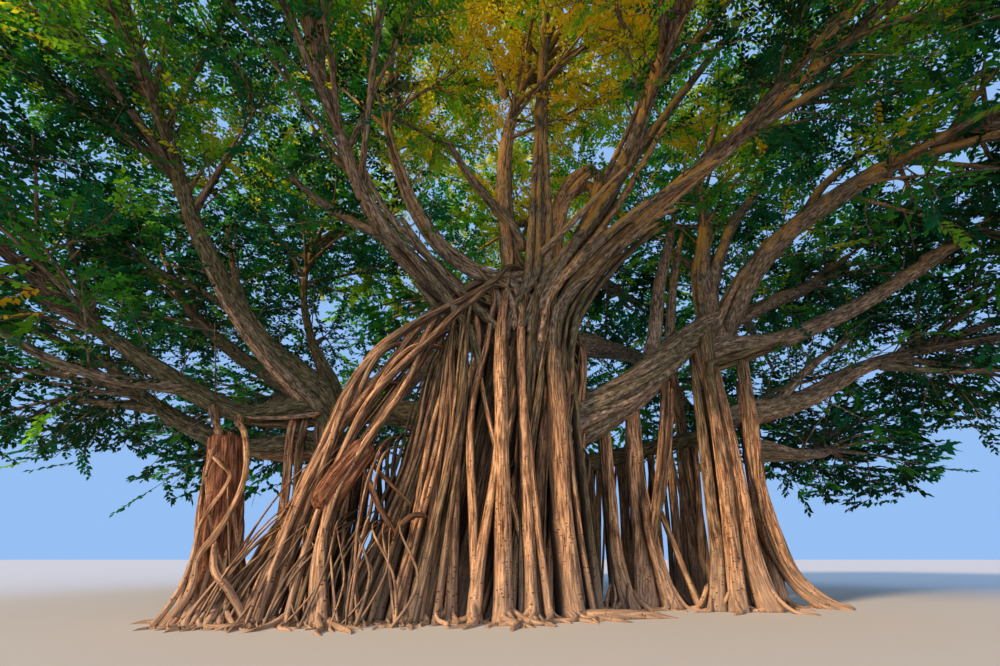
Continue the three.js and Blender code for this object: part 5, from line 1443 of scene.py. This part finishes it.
FIRST_FEEDING = 4
STEPS_BACK = 3
EDGE_GAP = 0.3
CENTRES = np.array([centre for _, centre, _ in MASSES.values()])
SPACES = np.array([space for _, _, space in MASSES.values()])


def rank_of(name):
    """Whether a mass is near the open front, in the middle, or at the back."""
    return "near" if name in NEAR_MASSES else "back" if name in BACK_MASSES else "middle"


def headings(count, rise, start):
    """Directions by the golden turn, whose rise goes evenly from the first value to the second."""
    step = (np.arange(count) + 0.5) / count
    height = rise[0] + (rise[1] - rise[0]) * step
    turn = start + GOLDEN_TURN * np.arange(count)
    flat = np.sqrt(1 - height**2)
    return np.stack([flat * np.cos(turn), flat * np.sin(turn), height], 1)


def bend_curves(start, control, end, count):
    """Curves (1-t)^2 start + 2t(1-t) control + t^2 end, count points each."""
    t = np.linspace(0, 1, count)[None, :, None]
    return (1 - t)**2 * start[:, None] + 2 * t * (1 - t) * control[:, None] + t**2 * end[:, None]


def many_tubes(curves, first, last, sides):
    """Closed tapering tubes along many curves at once, as one part."""
    number, count = curves.shape[:2]
    tangent = unit(np.gradient(curves, axis=1))
    chord = unit(curves[:, -1] - curves[:, 0])
    side = unit(np.stack([-chord[:, 1], chord[:, 0] + 1e-3, 0 * chord[:, 0]], 1))[:, None]
    across = unit(side - (tangent * side).sum(-1, keepdims=True) * tangent)
    up = np.cross(tangent, across)
    share = np.linspace(0, 1, count)[None, :]
    thick = np.asarray(first)[:, None] * (1 - share) + np.asarray(last)[:, None] * share
    turn = np.linspace(0, 2 * math.pi, sides, endpoint=False)
    spoke = (np.cos(turn)[None, None, :, None] * across[:, :, None]
             + np.sin(turn)[None, None, :, None] * up[:, :, None])
    points = curves[:, :, None] + thick[:, :, None, None] * spoke
    index = np.arange(count * sides).reshape(count, sides)
    low, high = index[:-1], index[1:]
    cells = np.concatenate([np.stack([low, np.roll(low, -1, 1), np.roll(high, -1, 1)], -1).reshape(-1, 3),
                            np.stack([low, np.roll(high, -1, 1), high], -1).reshape(-1, 3)])
    caps = [np.stack([np.full(sides - 2, ring[0]), *pair], -1)
            for ring,
            pair in ((index[0], (index[0][2:], index[0][1:-1])),
                     (index[-1], (index[-1][1:-1], index[-1][2:])))]
    cells = np.concatenate([cells, *caps])
    faces = cells[None] + (np.arange(number) * count * sides)[:, None, None]
    length = np.linalg.norm(np.diff(curves, axis=1), axis=2).cumsum(1)
    length = np.concatenate([np.zeros((number, 1)), length], 1)[:, :, None]
    grain = np.stack(np.broadcast_arrays(thick[..., None] * np.cos(turn), thick[..., None] * np.sin(turn),
                                         length + np.arange(number)[:, None, None] * 3.1), -1)
    total = number * count * sides
    return {"points": points.reshape(-1, 3), "faces": faces.reshape(-1, 3), "grain": grain.reshape(-1, 3),
            "groove_shade": np.zeros(total), "sunward": np.clip(spoke @ SUNWARD, 0, 1).ravel(),
            "tone": np.full(total, 0.45)}


# %% [markdown]
# ## Growing branches and twigs
#
# For each mass we keep three generations: the stem, its branches, and side branches that run from
# the nearest branch to a point of the space. Sprays of leaves will sit on the side branches. What
# would leave the mass's own space, or lie nearer to another mass, is dropped.

# %% Grow the crown's wood
def space_share(points, which):
    """How far points lie from a mass's middle: 1 is the edge of its oval space."""
    return np.linalg.norm((points - CENTRES[which]) / SPACES[which], axis=-1)


def grow_mass(which, name, seed):
    """Stem, branches and side branches of one mass, as lists of curves with their thickness."""
    bough, centre, space = MASSES[name]
    centre, space = np.array(centre), np.array(space)
    line = smooth_line(BOUGHS[bough][2:], BOUGH_POINTS)
    facing = unit(line[-1] - line[-2])
    bend = line[-1] + facing * np.linalg.norm(centre - line[-1]) * STEM_BEND
    stem = bend_curves(line[-1:], bend[None], centre[None], STEM_POINTS)[0]
    random = np.random.default_rng(seed)
    heading = headings(BRANCHES_PER_MASS, BRANCH_RISE, random.uniform(0, 6))
    ends = centre + heading * space * BRANCH_REACH * random.uniform(0.85, 1.0, (BRANCHES_PER_MASS, 1))
    places = np.linspace(0.15, 0.98, BRANCHES_PER_MASS)
    roots = stem[(places * (STEM_POINTS - 1)).astype(int)]
    low = heading[:, 2] < 0
    roots[low] = line[(random.uniform(0.72, 0.95, low.sum()) * (BOUGH_POINTS - 1)).astype(int)]
    lift = np.stack([0 * places, 0 * places, random.uniform(0.1, 0.5, BRANCHES_PER_MASS)], 1)
    branches = bend_curves(roots, (roots + ends) / 2 + lift, ends, BRANCH_POINTS)
    tip_count = int(TIPS[rank_of(name)] * OPEN_MASSES.get(name, 1))
    out = headings(tip_count, (0.98, -0.98), random.uniform(0, 6))
    inner, outer = TIP_SHELL
    share = (inner**3 + (outer**3 - inner**3) * ((np.arange(tip_count) * GOLDEN_SHARE * 3.1) % 1))**(1 / 3)
    tips = centre + out * space * share[:, None] + random.normal(0, 0.15, out.shape)
    tips = np.clip(tips, BOX_LOW + EDGE_GAP, BOX_HIGH - EDGE_GAP)
    gap = np.linalg.norm(branches[:, None, FIRST_FEEDING:] - tips[None, :, None], axis=-1)
    nearest = gap.min(2).argmin(0)
    place = gap[nearest, np.arange(tip_count)].argmin(1) + FIRST_FEEDING - STEPS_BACK
    place = np.clip(place, 2, BRANCH_POINTS - 1)
    starts = branches[nearest, place]
    middle = (starts + tips) / 2 + [0, 0, 0.15] + random.normal(0, 0.12, tips.shape)
    sides = bend_curves(starts, middle, tips, SIDE_POINTS)
    own = space_share(tips, which)
    others = np.linalg.norm((tips[:, None] - CENTRES[None]) / SPACES[None], axis=-1).min(1)
    inwards = out @ unit(CROWN_ROOT - centre) > 0.3
    kept = (own <= others + 0.1) & (~inwards | (random.uniform(0, 1, tip_count) < INNER_KEPT))
    far = centre + facing * space.min() * 0.7
    leader = bend_curves(stem[-1:], ((stem[-1] + far) / 2 + [0, 0, 0.2])[None], far[None], 6)[0]
    wide = LEADER_THICK[0] + (LEADER_THICK[1] - LEADER_THICK[0]) * np.clip(heading @ facing, 0, 1)
    return np.vstack([stem, leader[1:]]), branches, wide, sides[kept]


def shoots_along(points, first, seed):
    """Leafy shoots along a limb from a share of its way on, turned round it by the golden turn."""
    line, tangent, across, up = bough_frame(points)
    random = np.random.default_rng(seed)
    count = int(line_length(points) * (0.97 - first) / SHOOT_SPACING)
    place = (np.linspace(first, 0.97, count) * (LINE_STEPS - 1)).astype(int)
    turn = GOLDEN_TURN * np.arange(count)
    aim = np.cos(turn)[:, None] * across[place] + np.sin(turn)[:, None] * up[place]
    aim = unit(aim + tangent[place] * 0.5 + [0, 0, 0.25])
    tips = line[place] + aim * random.uniform(*SHOOT_LENGTH, (count, 1))
    tips = np.clip(tips, BOX_LOW + EDGE_GAP, BOX_HIGH - EDGE_GAP)
    return bend_curves(line[place], (line[place] + tips) / 2 + [0, 0, 0.12], tips, SIDE_POINTS)


LEAFY_LIMBS = [(BOUGHS[bough][2:], 0.42 if bough.startswith("centre") else 0.24)
               for bough, _, _ in MASSES.values()]
LEAFY_LIMBS += [(line, 0.15) for limbs in SIDE_LIMBS.values() for line, _ in limbs]
LEAFY_LIMBS += [(FORK_LIMBS[name][0], 0.5) for name in ("upright", "rising_right")]
stems, branches, widths, side_branches, side_mass = [], [], [], [], []
for which, name in enumerate(MASSES):
    stem, main, wide, sides = grow_mass(which, name, 2000 + which)
    stems.append(stem)
    branches.append(main)
    widths.append(wide)
    side_branches.append(sides)
    side_mass.append(np.full(len(sides), which))
for index, (line, first) in enumerate(LEAFY_LIMBS):
    side_branches.append(shoots_along(line, first, 2500 + index))
    side_mass.append(np.full(len(side_branches[-1]), -1))
branches = np.concatenate(branches)
widths = np.concatenate(widths)
side_branches = np.concatenate(side_branches)
side_mass = np.concatenate(side_mass)
print("branches:", len(branches), "side branches:", len(side_branches))
stem_parts = [limb(stem[::4], [bough_radius(MASSES[name][0], 1.0), STEM_END], 16, 0.16, 2100 + which,
                   lobes=BOUGH_LOBES)
              for which, (name, stem) in enumerate(zip(MASSES, stems))]
branch_part = many_tubes(branches[:, ::2], widths, 0.3 * widths, 7)
side_part = many_tubes(side_branches, np.full(len(side_branches), 0.03), np.full(len(side_branches), 0.01), 3)
bough_piece("crown_branches", stem_parts + [branch_part, side_part], *MASSES)

# %% [markdown]
# ## Leaves
#
# A fig leaf here is a pointed oval folded along its midrib: four points and two triangles, opaque,
# in its own outline. Sixteen of them sit left and right on a short twig and make a spray. All the
# sprays are worked out together, as arrays of leaf bases, directions and normals.
#
# A real crown shows its limbs because little grows close under them. We leave out the sprays that
# would stand right in front of a limb on its open side, and clear one upright bough towards the late
# sun, so that it is lit. Young leaves are yellow to golden, old ones blue-green. Each spray gets one
# plain colour, chosen partly by chance in clumps and partly as painted light and shade: more golden
# higher up and in three sunny spots, deeper green towards the far left and right. Sprays of one
# colour are joined.

# %% Sprays
SPRAYS_PER_SIDE = 6
LEAVES_PER_SPRAY = 16
SPRAY_LENGTH = (0.7, 1.2)
LEAF_LENGTH = 0.25
LEAF_WIDTH = 0.14
SHOOT_LEAF = 0.72
LEAF_FOLD = 0.22
LEAF_OUTLINE = np.array([[0, 0], [0.42, 1], [1, 0], [0.42, -1]])
LEAF_FACES = np.array([[0, 1, 2], [0, 2, 3]])

OPEN_SIDE = np.array([0.0, -11.0, 1.0])
CLEAR_LENGTH = 3.2
CLEAR_WIDTH = 0.22
SUNLIT_BOUGH = "centre_bough_3"
SUNLIT_FROM = 0.35
SUN_LENGTH = 12.0
SUN_WIDTH = 0.65
SHOWN_LENGTH = 6.5
SPRAY_EDGE_GAP = 0.15
MASS_OVERHANG = 1.14


def in_the_way(places, line, toward, length, width):
    """Whether places lie in the corridor that leaves each point of a limb towards a side."""
    gap = places[:, None] - line[None]
    ahead = (gap * toward).sum(-1)
    aside = np.linalg.norm(gap - ahead[..., None] * toward, axis=-1)
    return ((ahead > -0.3) & (ahead < length) & (aside < width)).any(1)


random = np.random.default_rng(77)
count = len(side_branches)
place = np.linspace(0.28, 1.0, SPRAYS_PER_SIDE)
t = np.broadcast_to(place * (SIDE_POINTS - 1), (count, SPRAYS_PER_SIDE))
cell = np.minimum(t.astype(int), SIDE_POINTS - 2)
rows = np.arange(count)[:, None]
here, ahead = side_branches[rows, cell], side_branches[rows, cell + 1]
roots = here + (ahead - here) * (t - cell)[..., None]
forward = unit(side_branches[:, -1] - side_branches[:, 0])[:, None]
handed = np.where(np.arange(SPRAYS_PER_SIDE) % 2 == 0, 1.0, -1.0)
sideways = unit(np.cross(forward, [0, 0, 1.0]))
aim = forward * 0.7 + sideways * handed[None, :, None] * random.uniform(0.5, 1.2, (count, SPRAYS_PER_SIDE, 1))
aim = unit(aim + random.normal(0, 0.4, aim.shape) + [0, 0, 0.05])
reach = random.uniform(*SPRAY_LENGTH, (count, SPRAYS_PER_SIDE, 1))
spray_root, spray_aim = roots.reshape(-1, 3), aim.reshape(-1, 3)
spray_length = reach.reshape(-1)
spray_mass = np.repeat(side_mass, SPRAYS_PER_SIDE)
mass_scale = np.array([LEAF_SCALES[rank_of(name)] for name in MASSES] + [SHOOT_LEAF])
leaf_scale = mass_scale[spray_mass]
spray_tip = spray_root + spray_aim * spray_length[:, None]
inside = ((spray_tip > BOX_LOW + SPRAY_EDGE_GAP) & (spray_tip < BOX_HIGH - SPRAY_EDGE_GAP)).all(1)
inside &= (space_share(spray_tip, spray_mass) < MASS_OVERHANG) | (spray_mass < 0)
shown = [(points, thick) for thick, _, *points in BOUGHS.values()]
shown += [(points, thick) for points, thick, _ in FORK_LIMBS.values()] + [(stem, 0) for stem in stems]
for points, thick in shown:
    line = smooth_line(points, 16)
    inside &= ~in_the_way(spray_tip, line, unit(OPEN_SIDE - line), CLEAR_LENGTH, thick + CLEAR_WIDTH)
line = smooth_line(BOUGHS[SUNLIT_BOUGH][2:], 30)[int(SUNLIT_FROM * 30):]
inside &= ~in_the_way(spray_tip, line, SUNWARD, SUN_LENGTH, SUN_WIDTH)
inside &= ~in_the_way(spray_tip, line, unit(OPEN_SIDE - line), SHOWN_LENGTH, SUN_WIDTH)
spray_root, spray_aim, spray_length = spray_root[inside], spray_aim[inside], spray_length[inside]
spray_mass, spray_tip, leaf_scale = spray_mass[inside], spray_tip[inside], leaf_scale[inside]
print("sprays:", len(spray_root), "leaves:", len(spray_root) * LEAVES_PER_SPRAY)

# %% Leaf geometry
def leaves_of(root, aim, length, scale, seed):
    """All leaves of the sprays as one part.

    Leaf k sits at the share (k + 1) / count of the twig, turned alternately left and right, drooping
    a little. Outline point (u, v) = base + u * length * along + v * width * (across + fold * normal)."""
    random = np.random.default_rng(seed)
    number = len(root)
    share = (np.arange(LEAVES_PER_SPRAY) + 1) / LEAVES_PER_SPRAY
    base = root[:, None] + aim[:, None] * (length[:, None] * share)[..., None]
    handed = np.where(np.arange(LEAVES_PER_SPRAY) % 2 == 0, 1.0, -1.0)
    level = unit(np.cross(aim, [0, 0, 1.0]))[:, None]
    turn = random.uniform(0.5, 1.15, (number, LEAVES_PER_SPRAY, 1))
    turn[:, -1] = 0.1
    ahead = aim[:, None] * np.cos(turn) + level * handed[None, :, None] * np.sin(turn)
    ahead = unit(ahead + random.normal(0, 0.2, ahead.shape) - [0, 0, 0.28])
    top = unit(np.cross(level, aim[:, None]) + random.normal(0, 0.45, ahead.shape))
    top = top * np.where(top[..., 2:] < 0, -1, 1)
    across = unit(np.cross(ahead, top))
    normal = np.cross(across, ahead)
    size = scale[:, None, None, None] * random.uniform(0.75, 1.15, (number, LEAVES_PER_SPRAY, 1, 1))
    u, v = LEAF_OUTLINE[:, 0][:, None], LEAF_OUTLINE[:, 1][:, None]
    points = (base[:, :, None] + size * (u * LEAF_LENGTH * ahead[:, :, None]
              + v * LEAF_WIDTH / 2 * across[:, :, None]
              + np.abs(v) * LEAF_WIDTH / 2 * LEAF_FOLD * normal[:, :, None]))
    total = number * LEAVES_PER_SPRAY
    faces = LEAF_FACES[None] + (np.arange(total) * len(LEAF_OUTLINE))[:, None, None]
    return {"points": points.reshape(-1, 3), "faces": faces.reshape(-1, 3)}


# %% Leaf colours
LEAF_COLOURS = {
    "deep_green": (0.004, 0.04, 0.008),
    "blue_green": (0.006, 0.1, 0.035),
    "mid_green": (0.035, 0.19, 0.017),
    "fresh_green": (0.15, 0.36, 0.015),
    "lime": (0.45, 0.46, 0.012),
    "golden": (0.9, 0.42, 0.015),
}
TRANSLUCENT_SHARE = 0.5
PAINTED_SUN_SPOTS = (((0.5, -3.0, 15.0), (4.5, 7.0, 4.0), 1.5), ((-11.5, -3.5, 13.0), (2.6, 3.0, 2.2), 0.9),
         ((7.3, -2.5, 12.5), (2.2, 3.0, 2.2), 0.7))
SHADE_FROM = 11.0
COLOUR_SHARES = (0.2, 0.42, 0.68, 0.83, 0.92)


def leaf_material(name, colour):
    """A leaf: a glossy skin mixed with light that shines through the blade."""
    material = bpy.data.materials.new(f"leaf_{name}")
    material.use_nodes = True
    tree = material.node_tree
    shader = tree.nodes["Principled BSDF"]
    shader.inputs["Base Color"].default_value = (*colour, 1)
    shader.inputs["Roughness"].default_value = 0.6
    shader.inputs["Specular IOR Level"].default_value = 0.15
    through = add_node(tree, "ShaderNodeBsdfTranslucent",
                       {"Color": (*[min(1, 2.2 * part) for part in colour], 1)})
    both = add_node(tree, "ShaderNodeMixShader",
                    {0: TRANSLUCENT_SHARE, 1: shader.outputs[0], 2: through.outputs[0]})
    tree.links.new(both.outputs[0], tree.nodes["Material Output"].inputs["Surface"])
    return material


clump = soft_noise(spray_root / 1.7, 31) + 0.6 * soft_noise(spray_root / 0.7, 32)
# Painted light: sprays higher up lean to the golden colours.
lit = (spray_root[:, 2] - 11) / 6 + 0.5 * soft_noise(spray_root / 4, 33)
# Painted sunlight: three spots where sprays lean to golden.
painted_sun_glow = sum(strength * np.exp(-(((spray_root - centre) / spread)**2).sum(1))
           for centre, spread, strength in PAINTED_SUN_SPOTS)
# Painted shade: sprays towards the far left and right lean to the deep greens.
shade = np.clip((np.abs(spray_root[:, 0]) - SHADE_FROM) / 4, 0, 1)
score = clump + 0.45 * lit + painted_sun_glow - 0.35 * shade + random.normal(0, 0.3, len(clump))
order = np.digitize(score, np.quantile(score, COLOUR_SHARES))
for rank, (name, colour) in enumerate(LEAF_COLOURS.items()):
    material = leaf_material(name, colour)
    chosen = np.flatnonzero(order == rank)
    for side, mask in (("left", spray_root[chosen, 0] < 0), ("right", spray_root[chosen, 0] >= 0)):
        part = chosen[mask]
        leaves = leaves_of(spray_root[part], spray_aim[part], spray_length[part], leaf_scale[part],
                           3000 + rank)
        make_piece(f"leaves_{name}_{side}", [leaves], material, list(MASSES))

# %% Twigs that carry the sprays
TWIG_RADIUS = 0.011


def cones(root, tip, radius):
    """Slim three-sided cones: point k of a foot lies at the radius and a third of a turn further."""
    ahead = unit(tip - root)
    across = unit(np.cross(ahead, [0.3, 0.2, 1.0]))
    up = np.cross(ahead, across)
    turn = np.arange(3) * 2 * math.pi / 3
    foot = root[:, None] + radius * (np.cos(turn)[None, :, None] * across[:, None]
                                     + np.sin(turn)[None, :, None] * up[:, None])
    points = np.concatenate([foot, tip[:, None]], 1)
    faces = np.array([[0, 1, 3], [1, 2, 3], [2, 0, 3],
                      [0, 2, 1]])[None] + 4 * np.arange(len(root))[:, None, None]
    grain = points - root[:, None]
    total = 4 * len(root)
    return {"points": points.reshape(-1, 3), "faces": faces.reshape(-1, 3), "grain": grain.reshape(-1, 3),
            "groove_shade": np.zeros(total), "sunward": np.zeros(total), "tone": np.full(total, 0.4)}


bough_piece("crown_twigs", [cones(spray_root, spray_tip, TWIG_RADIUS)], *MASSES)
print("all triangles:", sum(piece_sizes.values()))

# %% [markdown]
# ## Floor, light and camera
#
# The tree stands on a plain pale floor under soft light: a pale sky all round, a warm lamp low on
# the left like late sun, and a broad fill from behind the camera. The camera is a wide lens held at
# the hip, 12 m in front of the trunk and tipped up, as the tree is best seen.

# %% Stage
FLOOR_HALF = 300
CAMERA_PLACE = (0, -12, 1.1)
CAMERA_PITCH = 27.6
CAMERA_LENS = 15.48

floor_mesh = fill_mesh("floor", {
    "points": np.array([[-1, -1, 0], [1, -1, 0], [1, 1, 0], [-1, 1, 0]], float) * FLOOR_HALF,
    "faces": np.array([[0, 1, 2], [0, 2, 3]])})
floor_material = bpy.data.materials.new("floor")
floor_material.use_nodes = True
floor_shader = floor_material.node_tree.nodes["Principled BSDF"].inputs
floor_shader["Base Color"].default_value = (0.62, 0.58, 0.54, 1)
floor_shader["Roughness"].default_value = 0.9
floor_mesh.materials.append(floor_material)
floor = bpy.data.objects.new("floor", floor_mesh)
bpy.context.scene.collection.objects.link(floor)

world = bpy.data.worlds.new("pale_sky")
world.use_nodes = True
sky = world.node_tree.nodes["Background"].inputs
sky["Color"].default_value = (0.34, 0.58, 1.0, 1)
sky["Strength"].default_value = 0.9
bpy.context.scene.world = world


def add_sun(name, azimuth, elevation, strength, colour, softness):
    """A soft sun that shines from an azimuth (0 is behind the camera, 90 the tree's right)."""
    data = bpy.data.lights.new(name, "SUN")
    data.energy = strength
    data.color = colour
    data.angle = math.radians(softness)
    lamp = bpy.data.objects.new(name, data)
    lamp.rotation_euler = (math.radians(90 - elevation), 0, math.radians(azimuth))
    bpy.context.scene.collection.objects.link(lamp)


add_sun("late_sun", -52, 24, 4.8, (1.0, 0.76, 0.5), 10)
add_sun("front_fill", 20, 12, 1.0, (1.0, 0.84, 0.66), 50)

camera_data = bpy.data.cameras.new("camera")
camera_data.lens = CAMERA_LENS
camera_data.sensor_width = 36
camera_data.clip_end = 1000
camera = bpy.data.objects.new("camera", camera_data)
camera.location = CAMERA_PLACE
camera.rotation_euler = (math.radians(90 + CAMERA_PITCH), 0, 0)
bpy.context.scene.collection.objects.link(camera)
bpy.context.scene.camera = camera
bpy.context.scene.view_settings.view_transform = "Standard"
bpy.context.scene.view_settings.exposure = 0.0
